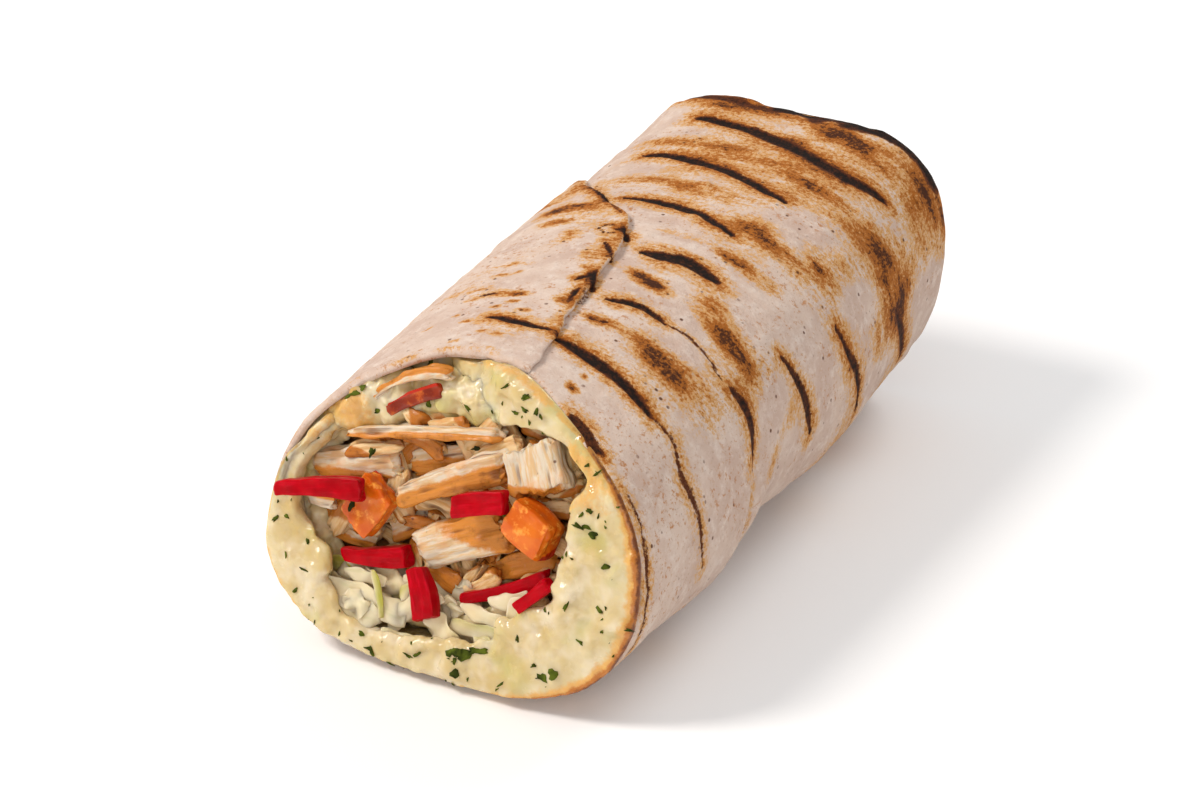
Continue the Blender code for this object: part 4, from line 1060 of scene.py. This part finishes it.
def cheese_lines(angles):
    """Lines of the cheese round the mouth, from its back beside the bread over its front to its back inside.

    Each is at an inset from the bread's outside and a depth behind the mouth, from the band's own values.
    """
    width, outer, inner, lap = band_values(np.degrees(angles))
    wall = sizes().bread_thickness + CHEESE_GAP
    edge = wall + (0.3 * MM - wall) * np.clip(2 * lap - 1, 0, 1)
    side = -outer + 0.8 * MM + (outer - 0.8 * MM - CHEESE_GAP) * np.clip(2 * lap, 0, 1)
    front = np.minimum(-outer, side - 0.3 * MM)
    lumps = 0.35 * MM * np.sin(9 * angles) + 0.25 * MM * np.sin(17 * angles + 1)
    lumps = lumps * np.clip(width / (6 * MM), 0, 1)
    swell = 0.3 * MM * np.sin(13 * angles + 2) * np.clip(width / (6 * MM), 0, 1)
    depth = CHEESE_DEPTH + np.maximum(0, -outer - 3.6 * MM)
    lines = (
        (wall, depth),
        (wall, (depth + side) / 2),
        (wall, side + 0.05 * MM + 0.25 * MM * (1 - lap)),
        (edge, side),
        (edge + 0.5 * MM, side + (front - side) * 0.7),
        (edge * 0.7 + (wall + width) * 0.3, front + lumps * 0.4),
        (edge * 0.4 + (wall + width) * 0.6, -(outer + inner) / 2 - lumps),
        (wall + 0.85 * width, -inner + swell),
        (wall + width + swell, -inner + 1.0 * MM),
        (wall + width * 0.88 + swell, -inner + 2.4 * MM),
        (wall + width * 0.4 + 0.4 * MM, (depth - inner) / 2 + 0.8 * MM),
        (wall + width * 0.2 + 0.6 * MM, depth + 0.4 * MM),
    )
    return np.stack([roll_points(angles, line_depth, inset) for inset, line_depth in lines])


def finer_loop(rows, times):
    """More rows between closed rows of points, along the cubic through each four."""
    share = (np.arange(times) / times)[:, None, None]
    before, here, after, beyond = (np.roll(rows, shift, axis=0)[:, None] for shift in (1, 0, -1, -2))
    curve = 0.5 * (
        2 * here
        + (after - before) * share
        + (2 * before - 5 * here + 4 * after - beyond) * share**2
        + (3 * here - before - 3 * after + beyond) * share**3
    )
    return curve.reshape(-1, *rows.shape[1:])


def facing_out(normals):
    """The cheese's normals, turned if need be so that those of its front look out of the mouth."""
    return -normals if normals[6 * FINER, :, 1].mean() > 0 else normals


def cheese_grid():
    """The cheese's grid, outward normals and angles: its lines made smooth, with noise on the front."""
    angles = np.linspace(0, 2 * np.pi, CHEESE_ROUND, endpoint=False)
    rows = finer_loop(cheese_lines(angles), FINER)
    place = np.arange(len(rows)) / FINER
    front = smooth(place, 2.6, 4.6) * (1 - smooth(place, 8.8, 10.2))
    normals = facing_out(surface_normals(rows, loop=True))
    lumps = 0.75 * layered_noise(rows, 5.0 * MM, 61, 3) + 0.22 * value_noise(rows, 1.5 * MM, 65)
    stringy = 0.35 * np.abs(value_noise(rows * [1, 1, 0.5], 3.0 * MM, 66))
    drip = smooth(place, 5.5, 8.0)[:, None] * 0.7 * value_noise(rows, 3.6 * MM, 67)
    relief = lumps + stringy + drip
    relief = np.where(relief < 0, relief * smooth(place, 4.6, 6.6)[:, None], relief)
    rows = rows + normals * (front[:, None] * relief * MM)[..., None]
    return rows, facing_out(surface_normals(rows, loop=True)), angles


def make_cheese():
    """A ring swept round the mouth: a soft uneven bead over the bread's edge with a thin lining behind it."""
    rows, _, angles = cheese_grid()
    lap = band_values(np.degrees(angles))[3]
    place = (np.arange(len(rows)) / FINER)[:, None]
    right = smooth(np.cos(angles + math.radians(5)), 0.45, 0.9)
    browned = np.exp(-(((place - 3.6) / 0.75) ** 2)) * (0.55 + 0.45 * lap) * (0.60 + 0.75 * right)
    on_front = smooth(place, 2.5, 4.0) * (1 - smooth(place, 8, 9))
    for degrees, reach, strength in ((34, 18, 0.58 * on_front), (156, 12, 0.55)):
        away = (np.degrees(angles) - degrees) / reach
        browned = np.maximum(browned, strength * np.exp(-(away**2)))
    mash = mash_rows()
    away = (np.linspace(0, 1, len(mash)) - 0.48) / 0.09
    stain = np.repeat(0.6 * np.exp(-(away**2))[:, None], mash.shape[1], axis=1)
    ring = outward(grid_shape(rows, loop=True, edge=browned))
    shape = merged([ring, outward(grid_shape(mash, edge=stain))])
    return add_piece("cheese_ring", shape, cheese_material(), ("melted_cheese",))


def mash_rows():
    """Creamy herbed mash packed under the bread's upper lip: a lumpy bead swept along a bowed path."""
    path = np.array(MASH_PATH)
    share = np.linspace(0, len(path) - 1, MASH_ALONG)
    spine = np.stack([np.interp(share, np.arange(len(path)), column) for column in path.T])
    around_each = np.arange(MASH_ALONG)[:, None] + np.arange(15)
    spine = np.pad(spine, ((0, 0), (7, 7)), mode="edge")[:, around_each].mean(axis=-1).T
    turn = np.linspace(0, 2 * np.pi, MASH_ROUND, endpoint=False)[None, :]
    ahead = np.gradient(spine[:, [0, 2]], axis=0)
    ahead = ahead / np.linalg.norm(ahead, axis=1, keepdims=True)
    ends = np.sqrt(np.clip(1 - np.linspace(-1, 1, MASH_ALONG) ** 8, 0.03, 1))[:, None]
    rows = np.zeros((MASH_ALONG, MASH_ROUND, 3))
    rows[..., 0] = spine[:, None, 0] - ahead[:, None, 1] * spine[:, None, 3] * ends * np.cos(turn)
    rows[..., 2] = spine[:, None, 2] + ahead[:, None, 0] * spine[:, None, 3] * ends * np.cos(turn)
    rows[..., 1] = spine[:, None, 1] - spine[:, None, 4] * ends * np.sin(turn)
    rows = rows * MM
    normals = surface_normals(rows)
    if (normals[..., 1] * np.sin(turn)).mean() > 0:
        normals = -normals
    lumps = 1.2 * layered_noise(rows, 3.6 * MM, 111, 3) + 0.5 * np.abs(value_noise(rows, 1.7 * MM, 115))
    rows = rows + normals * (lumps * MM)[..., None]
    return rows @ mouth_turn().T + [0, -sizes().roll_length / 2, 0]


def mouth_turn():
    """The rotation from the mouth's own directions to the roll's."""
    c, s = math.cos(MOUTH_LEAN), math.sin(MOUTH_LEAN)
    return np.array([[1, 0, 0], [0, c, s], [0, -s, c]])


def mouth_frame(start, end, roll):
    """The middle between two points in the mouth and a piece's directions there: along, across and out."""
    turn = mouth_turn()
    first, last = np.array(start) * MM, np.array(end) * MM
    lengthways = (last - first) / np.linalg.norm(last - first)
    facing = np.array([0, -1, 0]) - lengthways * -lengthways[1]
    facing = facing / np.linalg.norm(facing)
    sideways = np.cross(facing, lengthways)
    c, s = math.cos(math.radians(roll)), math.sin(math.radians(roll))
    axes = np.stack([lengthways, c * sideways + s * facing, c * facing - s * sideways])
    origin = np.array([0, -sizes().roll_length / 2, 0])
    return (first + last) / 2 @ turn.T + origin, axes @ turn.T


def cube_grid(around, lengthwise):
    """A cube from -1 to 1 as rings of a square: growing over one end, along the length, then shrinking."""
    growing = np.linspace(0.06, 0.97, END_RINGS)
    x = np.concatenate([-np.ones(END_RINGS), np.linspace(-1, 1, lengthwise), np.ones(END_RINGS)])
    share = np.concatenate([growing, np.ones(lengthwise), growing[::-1]])[:, None]
    turn = np.linspace(0, 2 * np.pi, around, endpoint=False)
    to_side = np.maximum(np.abs(np.cos(turn)), np.abs(np.sin(turn)))
    across, out = np.cos(turn) / to_side, np.sin(turn) / to_side
    return np.stack([np.repeat(x[:, None], around, axis=1), share * across, share * out], axis=-1)


def block_shape(spec, rounding, fibre, seed, meaty, seared=((0, 0, -1), 0.3), around=116, lengthwise=72):
    """A cut block as a square section swept along its length and closed over its ends.

    Each point of the cube is drawn in by its superellipse reach, tapered, bowed and ridged, then roughened.
    The browned side is given as its direction and how much of the block it takes.
    """
    start, end, width, thickness, roll, tip, bow = spec
    length = np.linalg.norm(np.subtract(end, start))
    size = np.array((length, width, thickness)) * MM / 2
    grid = cube_grid(around, lengthwise)
    draws = np.random.default_rng(seed)
    phase = draws.uniform(0, 2 * np.pi, 6)
    slant = draws.uniform(-1, 1, 2)
    reach = (np.abs(grid) ** rounding).sum(axis=-1) ** (1 / rounding)
    form = grid / reach[..., None] ** 0.6
    taper = tip + (1 - tip) * (form[..., 0] + 1) / 2
    lengthways = form[..., 0].copy()
    form[..., 1] *= taper
    form[..., 2] *= 0.6 + 0.4 * taper
    ridge = fibre * np.sin(4 * form[..., 1] + 3 * form[..., 2] + phase[2])
    form[..., 1] *= 1 + ridge + fibre * np.sin(2.6 * lengthways + phase[0])
    form[..., 2] *= 1 + ridge + fibre * np.sin(3.1 * lengthways + phase[1])
    form[..., 0] *= 1 + 0.5 * ridge * np.abs(lengthways)
    placed = form * size
    ends = np.abs(lengthways) ** 3 * 0.25
    placed[..., 0] += ends * (slant[0] * placed[..., 1] + slant[1] * placed[..., 2])
    placed[..., 1] += bow * MM * (1 - 1.5 * lengthways**2)
    middle, axes = mouth_frame(start, end, roll)
    shift = NOISE_SHIFT * (seed + 1)
    normals = surface_normals(placed)
    inwards = ((normals * placed).sum(axis=-1, keepdims=True) < 0).mean() > 0.5
    normals = -normals if inwards else normals
    stretched = placed / STRAND_SIZE + shift / MM
    strands = value_noise(stretched / MM, 1.0, 71 + seed)
    broad = layered_noise(placed + shift, 3.4 * MM, 75 + seed, 2)
    relief = meaty * (0.26 * strands + 0.42 * broad) + (1 - meaty) * 0.10 * broad
    placed = placed + normals * (relief * MM)[..., None]
    torn = value_noise(stretched * [0, 1, 1] / MM, 1.0, 79 + seed) * np.abs(lengthways) ** 6
    placed[..., 0] += meaty * 0.7 * MM * torn * np.sign(lengthways)
    grain = placed / GRAIN_SIZE + shift * 100
    side, amount = seared
    shown = form @ (np.array(side, float) / np.linalg.norm(side))
    sear = smooth(shown, 1.0 - 1.7 * amount, 1.3 - 1.1 * amount)
    # The groove mask follows where the strands sink in and carries painted shade.
    groove = np.clip(-strands * 1.2 - 0.25 * broad, 0, 1) * meaty
    world = middle + placed @ axes
    return outward(grid_shape(world, sear=sear, groove=groove, grain=grain / MM))


def make_chicken():
    """Slices, blocks and torn bits of chicken, each swept along its grain."""
    finish = chicken_material("spit-roast chicken", "#DACBB4", "#D5B182", "#CB8232", "#6B360F")
    for number, (name, spec) in enumerate(CHICKEN.items()):
        shape = block_shape(spec, 6, 0.06, number, 1.0, SEARED[name])
        add_piece("roast_" + name, shape, finish, (name,))


def make_turnip():
    """Sticks of pickled turnip, each swept along its length."""
    finish = turnip_material()
    for number, (name, spec) in enumerate(TURNIP.items()):
        shape = block_shape(spec, 9, 0.03, number, 0.12)
        add_piece("pickled_" + name, shape, finish, (name,))


def make_tomato():
    """Cut pieces of tomato, each swept along its longest side."""
    fresh = tomato_material("diced ripe tomato", "#DC7018", "#CC580C", "#F2A040")
    soaked = tomato_material("tomato soaked in sauce", "#A03A16", "#7C240C", "#C05C20")
    skins = (((0, 1, 0), 0.4), ((0, 0.8, -1), 0.2), ((0.3, -1, -0.6), 0.3), ((0, 1, 0), 0.6))
    for number, (name, spec) in enumerate(TOMATO.items()):
        shape = block_shape(spec, 9, 0.03, number, 0.3, skins[number])
        finish = soaked if name == "tomato_roof_slice" else fresh
        add_piece("cut_" + name, shape, finish, (name,))


def strip_shape(start, end, width, thickness, bow, seed, green, curl=0.25, pieces=26, around=20):
    """A bowed strip with a lens-like section, waved edges and drawn-in ends, swept along its length."""
    length = np.linalg.norm(np.subtract(end, start))
    share = np.linspace(-1, 1, pieces)[:, None]
    turn = np.linspace(0, 2 * np.pi, around, endpoint=False)[None, :]
    draws = np.random.default_rng(seed + 500)
    phase = draws.uniform(0, 2 * np.pi, 4)
    swell = 0.42 + 0.58 * np.sqrt(1 - share**2 * 0.93)
    swell = swell * (1 + 0.14 * np.sin(6 * share + phase[0]))
    rows = np.zeros((pieces, around, 3))
    rows[..., 0] = share * length / 2
    rows[..., 1] = width / 2 * swell * np.cos(turn) + bow * (1 - share**2)
    rows[..., 2] = thickness / 2 * swell * np.sin(turn) + 0.3 * bow * (1 - share**2)
    rows[..., 2] += curl * width * (np.cos(turn) ** 2 - 0.4) * np.sin(2.2 * share + phase[1])
    rows[..., 2] += 0.12 * width * np.cos(turn) * np.sin(5 * share + phase[2])
    rows = rows * MM
    rows += 0.14 * MM * np.stack([value_noise(rows + seed * MM, 1.6 * MM, 90 + k) for k in range(3)], axis=-1)
    middle, axes = mouth_frame(start, end, 0)
    grain = rows / MM * [1 / 7.0, 1 / 0.9, 1 / 0.9] + seed * 3
    tint = np.clip(green + 0.35 * np.cos(turn) * np.ones_like(share), 0, 1)
    return outward(grid_shape(middle + rows @ axes, grain=grain, green=tint))


def make_cabbage():
    """A mound of shreds: its core as a rounded lump tinted olive as painted shade for the gaps, and thin
    bowed strips over it.
    """
    centre, half_sizes = CABBAGE_MOUND
    polar = np.linspace(0.12, np.pi - 0.12, 40)[:, None]
    turn = np.linspace(0, 2 * np.pi, 64, endpoint=False)[None, :]
    ball = np.stack([
        np.cos(polar) * np.ones_like(turn),
        np.sin(polar) * np.cos(turn),
        np.sin(polar) * np.sin(turn),
    ], axis=-1)
    ball = ball * (1 + 0.06 * np.sin(5 * ball[..., :1] + 4 * ball[..., 2:]))
    middle, axes = mouth_frame(np.subtract(centre, (1, 0, 0)), np.add(centre, (1, 0, 0)), 0)
    local = ball * np.array([half_sizes[0], half_sizes[2], half_sizes[1]]) * MM
    local = local + 0.5 * MM * ball * layered_noise(local, 3 * MM, 95)[..., None]
    core = middle + local @ axes
    # The core's olive tint is painted shade seen through the gaps between the shreds.
    green = np.full(core.shape[:2], 0.5)
    shapes = [outward(grid_shape(core, grain=local / MM * [0.3, 1.2, 1.2], green=green))]
    for number, (start, end, width, thickness, bow) in enumerate(CABBAGE_SHREDS):
        green = (0.0, 0.15, 0.0, 0.55, 0.05, 0.3)[number % 6]
        shapes.append(strip_shape(start, end, 1.25 * width, thickness * 0.8, bow, number, green))
    draws = np.random.default_rng(12)
    for number, (start, end, width, thickness, green) in enumerate(CABBAGE_LEAVES):
        bow = draws.normal(0, 0.5)
        spec = (start, end, 1.25 * width, thickness, bow, 20 + number, green)
        shapes.append(strip_shape(*spec, curl=0.10, pieces=40))
    for number in range(LOOSE_SHREDS):
        across = draws.uniform(-25, 13)
        up = draws.uniform(8.0, 17.0) + 0.04 * across
        inwards = np.interp(up, (7.0, 16.0), (3.2, 6.6)) + draws.uniform(-0.8, 0.9)
        turned = draws.choice([0.15, -0.5, 0.9, 1.4]) + draws.normal(0, 0.3)
        reach = draws.uniform(4.0, 6.8) * (1 - 0.35 * abs(math.sin(turned)))
        tilt = draws.uniform(-1.0, 1.0)
        start = (across - reach * math.cos(turned), inwards - tilt, up - reach * math.sin(turned))
        end = (across + reach * math.cos(turned), inwards + tilt, up + reach * math.sin(turned))
        green = 0.7 if number % 6 == 0 else 0.1
        width, thickness, bow = draws.uniform(2.6, 5.4), draws.uniform(0.35, 0.7), draws.normal(0, 0.8)
        spec = (start, end, width, thickness, bow, 40 + number, green)
        shapes.append(strip_shape(*spec, curl=0.10, pieces=22, around=16))
    return add_piece("cabbage_shreds", merged(shapes), cabbage_material(), ("cabbage_heap",))


def make_filling():
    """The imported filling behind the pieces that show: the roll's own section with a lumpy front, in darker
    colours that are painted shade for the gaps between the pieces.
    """
    length, thickness = sizes().roll_length, sizes().bread_thickness
    angles = np.linspace(0, 2 * np.pi, 200, endpoint=False)[None, :]
    shares = np.linspace(0.03, 0.97, 46)[:, None]
    inset = thickness + FILLING_GAP
    front = roll_points(angles, 13.4 * MM, inset, shares)
    dents = layered_noise(front * [1, 0.4, 1], 5.5 * MM, 101, 3)
    front[..., 1] += (1.1 * dents + 0.25) * MM
    depths = np.linspace(14.2 * MM, length - thickness - 6 * MM, 26)[:, None]
    wall = roll_points(angles, depths, inset)
    back = roll_points(angles, length - thickness - 2 * MM, inset, np.array([0.9, 0.5, 0.05])[:, None])
    rows = np.concatenate([front, wall, back])
    groove = np.zeros(rows.shape[:2])
    # Painted shade darkens the deeper dents of the front.
    groove[: len(front)] = np.clip(0.45 + 0.5 * dents, 0, 1)
    sear = np.full(rows.shape[:2], 0.55)
    grain = rows / MM * [1 / 5.0, 1 / 1.2, 1 / 1.2]
    shape = outward(grid_shape(rows, sear=sear, groove=groove, grain=grain))
    # These darker chicken colours are painted shade for the gaps between the pieces in front.
    finish = chicken_material("packed chicken in painted shade", "#CB9A60", "#A9713A", "#96591F", "#43230E")
    return add_piece("packed_filling", shape, finish, ("filling_core",))


def make_scraps():
    """Small scraps of chicken in the gaps between the larger pieces, each swept along its length.

    Their places are random in the mouth's oval, deeper than the larger pieces and clear of the cabbage.
    """
    draws = np.random.default_rng(33)
    shapes = []
    wanted = sizes().scrap_count
    half_across, half_up, middle_up = MOUTH_OVAL
    mound_height, mound_side = MOUND_CORNER
    while len(shapes) < wanted:
        across, up = draws.uniform(-31, 24), draws.uniform(14, 47)
        radius = math.hypot(across / half_across, (up - middle_up) / half_up)
        if radius > 0.97 or (up < mound_height and across < mound_side):
            continue
        inwards = draws.uniform(6.8, 11.4)
        turned = draws.normal(0.25, 0.7)
        reach = draws.uniform(2.4, 5.6)
        step, rise = reach * math.cos(turned), reach * math.sin(turned)
        start = (across - step, inwards + draws.uniform(-1, 1), up - rise)
        end = (across + step, inwards + draws.uniform(-1, 1), up + rise)
        width, thickness = draws.uniform(1.6, 4.2), draws.uniform(1.4, 3.0)
        tip, bow = draws.uniform(0.6, 1.0), draws.normal(0, 0.3)
        side, amount = draws.normal(0, 1, 3), draws.uniform(0.3, 0.8)
        spec = (start, end, width, thickness, 0, tip, bow)
        shapes.append(block_shape(spec, 4, 0.08, len(shapes), 1.0, (side, amount), 24, 14))
    for spec in GAP_SCRAPS:
        shapes.append(block_shape(spec, 4, 0.08, len(shapes), 1.0, ((0, -1, 0.3), 0.5), 32, 18))
    finish = chicken_material("roast chicken scraps", "#E4C494", "#CE9E60", "#B87028", "#5C2F0F")
    return add_piece("chicken_scraps", merged(shapes), finish, ())


def flake_shape(middle, normal, length, width, turn, seed):
    """A crinkled leaf scrap: a ragged outline thinned to its edges, laid on the surface at the point."""
    draws = np.random.default_rng(seed + 900)
    sides = 11
    around = np.linspace(0, 2 * np.pi, sides, endpoint=False)
    ragged = 1 + 0.28 * draws.uniform(-1, 1, sides) + 0.22 * np.sin(3 * around + draws.uniform(0, 6))
    normal = normal / np.linalg.norm(normal)
    helper = np.array([0.0, 0.0, 1.0]) if abs(normal[2]) < 0.9 else np.array([1.0, 0.0, 0.0])
    side = np.cross(helper, normal)
    side = side / np.linalg.norm(side)
    up = np.cross(normal, side)
    c, s = math.cos(math.radians(turn)), math.sin(math.radians(turn))
    side, up = c * side + s * up, c * up - s * side
    rows = []
    bend = draws.uniform(-0.35, 0.5)
    for share, height in ((0.55, 0.02), (1.0, 0.06), (1.0, 0.13), (0.55, 0.20)):
        x = share * length / 2 * ragged * np.cos(around)
        y = share * width / 2 * ragged * np.sin(around)
        z = height + bend * (x / length) ** 2 * length * 0.4 + 0.1 * (1 - share)
        rows.append(middle + MM * (x[:, None] * side + y[:, None] * up + z[:, None] * normal))
    return outward(grid_shape(np.stack(rows)))


def make_herbs():
    """Flakes of dried parsley and dill on the cheese and a few on the filling.

    A larger flake is bits strung along its length, each laid on the nearest point that faces outwards.
    """
    rows, normals, _ = cheese_grid()
    mash = mash_rows()
    mash_normals = surface_normals(mash)
    if (mash_normals[..., 1] * (mash[..., 1] - mash[..., 1].mean())).mean() < 0:
        mash_normals = -mash_normals
    points = np.concatenate([rows.reshape(-1, 3), mash.reshape(-1, 3)])
    facings = np.concatenate([normals.reshape(-1, 3), mash_normals.reshape(-1, 3)])
    points, facings = points[facings[:, 1] < -0.35], facings[facings[:, 1] < -0.35]
    local = (points + [0, sizes().roll_length / 2, 0]) @ mouth_turn() / MM
    shapes = []
    for number, (x, z, length, width, turn) in enumerate(HERB_FLAKES):
        bits = max(1, int(length / 1.3))
        draws = np.random.default_rng(number + 300)
        slope = math.radians(turn)
        for bit in range(bits):
            share = length * (bit - (bits - 1) / 2) / bits
            aim = np.array([x, z]) + share * np.array([math.cos(slope), math.sin(slope)])
            aim = aim + draws.normal(0, 0.15 * width, 2)
            reached = np.hypot(local[:, 0] - aim[0], local[:, 2] - aim[1]) + 0.02 * local[:, 1]
            spot = np.argmin(reached)
            long = 1.0 + 0.25 * length * draws.uniform(0.5, 1.3)
            wide = width * draws.uniform(0.4, 0.85)
            tilt = turn + draws.uniform(-50, 50)
            shapes.append(flake_shape(points[spot], facings[spot], long, wide, tilt, number * 20 + bit))
    for number, (x, y, z, length, width, turn) in enumerate(LOOSE_FLAKES):
        place = mouth_turn() @ (np.array([x, y, z]) * MM) + [0, -sizes().roll_length / 2, 0]
        shapes.append(flake_shape(place, np.array([0.2, -0.8, 0.5]), length, width, turn, 8000 + number))
    draws = np.random.default_rng(8)
    small = 0
    while small < sizes().herb_count:
        i = draws.integers(int(3.9 * FINER), int(9.2 * FINER))
        j = draws.integers(0, rows.shape[1])
        if normals[i, j, 1] > -0.2:
            continue
        length = draws.gamma(2.6, 0.28)
        length = min(max(length, 0.3), 1.9)
        width, turn = length * draws.uniform(0.22, 0.6), draws.uniform(0, 180)
        shapes.append(flake_shape(rows[i, j], normals[i, j], length, width, turn, 5000 + small))
        small += 1
    return add_piece("dried_herbs", merged(shapes), herb_material(), ())


# ---------------------------------------------------------------- stage


def add_light(name, place, target, size, power, tint):
    """A round soft light at a place, turned to its target."""
    lamp = bpy.data.lights.new(name, "AREA")
    lamp.shape = "DISK"
    lamp.size = size
    lamp.energy = power
    lamp.color = colour(tint)[:3]
    made = bpy.data.objects.new(name, lamp)
    made.location = place
    made.rotation_euler = (Vector(target) - Vector(place)).to_track_quat("-Z", "Y").to_euler()
    bpy.context.scene.collection.objects.link(made)


def make_stage():
    """Paper floor, soft lights, a pale room and the camera."""
    corners = [(x * PAPER_HALF, y * PAPER_HALF, 0.0) for x, y in ((-1, -1), (1, -1), (1, 1), (-1, 1))]
    mesh = bpy.data.meshes.new("paper_floor")
    mesh.from_pydata(corners, [], [(0, 1, 2, 3)])
    mesh.materials.append(floor_material())
    floor = bpy.data.objects.new("paper_floor", mesh)
    bpy.context.scene.collection.objects.link(floor)
    for lamp in LAMPS:
        add_light(*lamp)
    world = bpy.data.worlds.new("pale_room")
    world.use_nodes = True
    sky = world.node_tree.nodes["Background"]
    connect(world.node_tree, sky, Color=colour(ROOM_TINT), Strength=ROOM_STRENGTH)
    bpy.context.scene.world = world
    turn, rise = math.radians(VIEW_AZIMUTH), math.radians(VIEW_ELEVATION)
    away = Vector((math.sin(turn) * math.cos(rise), -math.cos(turn) * math.cos(rise), math.sin(rise)))
    lens = bpy.data.cameras.new("camera")
    lens.sensor_width = FILM_WIDTH
    lens.lens = LENS
    lens.clip_start = 0.01
    camera = bpy.data.objects.new("camera", lens)
    camera.matrix_world = (
        Matrix.Translation(Vector(VIEW_TARGET) + away * VIEW_DISTANCE)
        @ away.to_track_quat("Z", "Y").to_matrix().to_4x4()
    )
    bpy.context.scene.collection.objects.link(camera)
    bpy.context.scene.camera = camera
    bpy.context.scene.view_settings.view_transform = "Standard"


# ---------------------------------------------------------------- operators


class BuildFlatbread(bpy.types.Operator):
    """Build the grilled flatbread"""

    bl_idname = "shawarma.build_flatbread"
    bl_label = "Flatbread"

    def execute(self, context):
        make_flatbread()
        return {"FINISHED"}


class BuildCheese(bpy.types.Operator):
    """Build the ring of melted cheese"""

    bl_idname = "shawarma.build_cheese"
    bl_label = "Melted cheese"

    def execute(self, context):
        make_cheese()
        return {"FINISHED"}


class BuildHerbs(bpy.types.Operator):
    """Build the dried herbs"""

    bl_idname = "shawarma.build_herbs"
    bl_label = "Dried herbs"

    def execute(self, context):
        make_herbs()
        return {"FINISHED"}


class BuildChicken(bpy.types.Operator):
    """Build the chicken: large pieces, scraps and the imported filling"""

    bl_idname = "shawarma.build_chicken"
    bl_label = "Chicken"

    def execute(self, context):
        make_chicken()
        make_scraps()
        make_filling()
        return {"FINISHED"}


class BuildTurnip(bpy.types.Operator):
    """Build the pickled turnip sticks"""

    bl_idname = "shawarma.build_turnip"
    bl_label = "Pickled turnip"

    def execute(self, context):
        make_turnip()
        return {"FINISHED"}


class BuildTomato(bpy.types.Operator):
    """Build the tomato pieces"""

    bl_idname = "shawarma.build_tomato"
    bl_label = "Tomato"

    def execute(self, context):
        make_tomato()
        return {"FINISHED"}


class BuildCabbage(bpy.types.Operator):
    """Build the shredded cabbage"""

    bl_idname = "shawarma.build_cabbage"
    bl_label = "Cabbage"

    def execute(self, context):
        make_cabbage()
        return {"FINISHED"}


class BuildStage(bpy.types.Operator):
    """Build the floor, lights and camera"""

    bl_idname = "shawarma.build_stage"
    bl_label = "Stage"

    def execute(self, context):
        make_stage()
        return {"FINISHED"}


OPERATORS = (
    BuildFlatbread,
    BuildCheese,
    BuildHerbs,
    BuildChicken,
    BuildTurnip,
    BuildTomato,
    BuildCabbage,
    BuildStage,
)


class ShawarmaPanel(bpy.types.Panel):
    """Sizes and build buttons of the shawarma pita"""

    bl_idname = "VIEW3D_PT_shawarma"
    bl_label = "Shawarma pita"
    bl_space_type = "VIEW_3D"
    bl_region_type = "UI"
    bl_category = "Shawarma"

    def draw(self, context):
        for name in ShawarmaSizes.__annotations__:
            self.layout.prop(context.scene.shawarma, name)
        for operator in OPERATORS:
            self.layout.operator(operator.bl_idname)


CLASSES = (ShawarmaSizes, *OPERATORS, ShawarmaPanel)


def register():
    for item in CLASSES:
        bpy.utils.register_class(item)
    bpy.types.Scene.shawarma = bpy.props.PointerProperty(type=ShawarmaSizes)


def unregister():
    del bpy.types.Scene.shawarma
    for item in reversed(CLASSES):
        bpy.utils.unregister_class(item)


def main():
    register()
    bpy.ops.shawarma.build_flatbread()
    bpy.ops.shawarma.build_cheese()
    bpy.ops.shawarma.build_herbs()
    bpy.ops.shawarma.build_chicken()
    bpy.ops.shawarma.build_turnip()
    bpy.ops.shawarma.build_tomato()
    bpy.ops.shawarma.build_cabbage()
    bpy.ops.shawarma.build_stage()


if __name__ == "__main__":
    main()
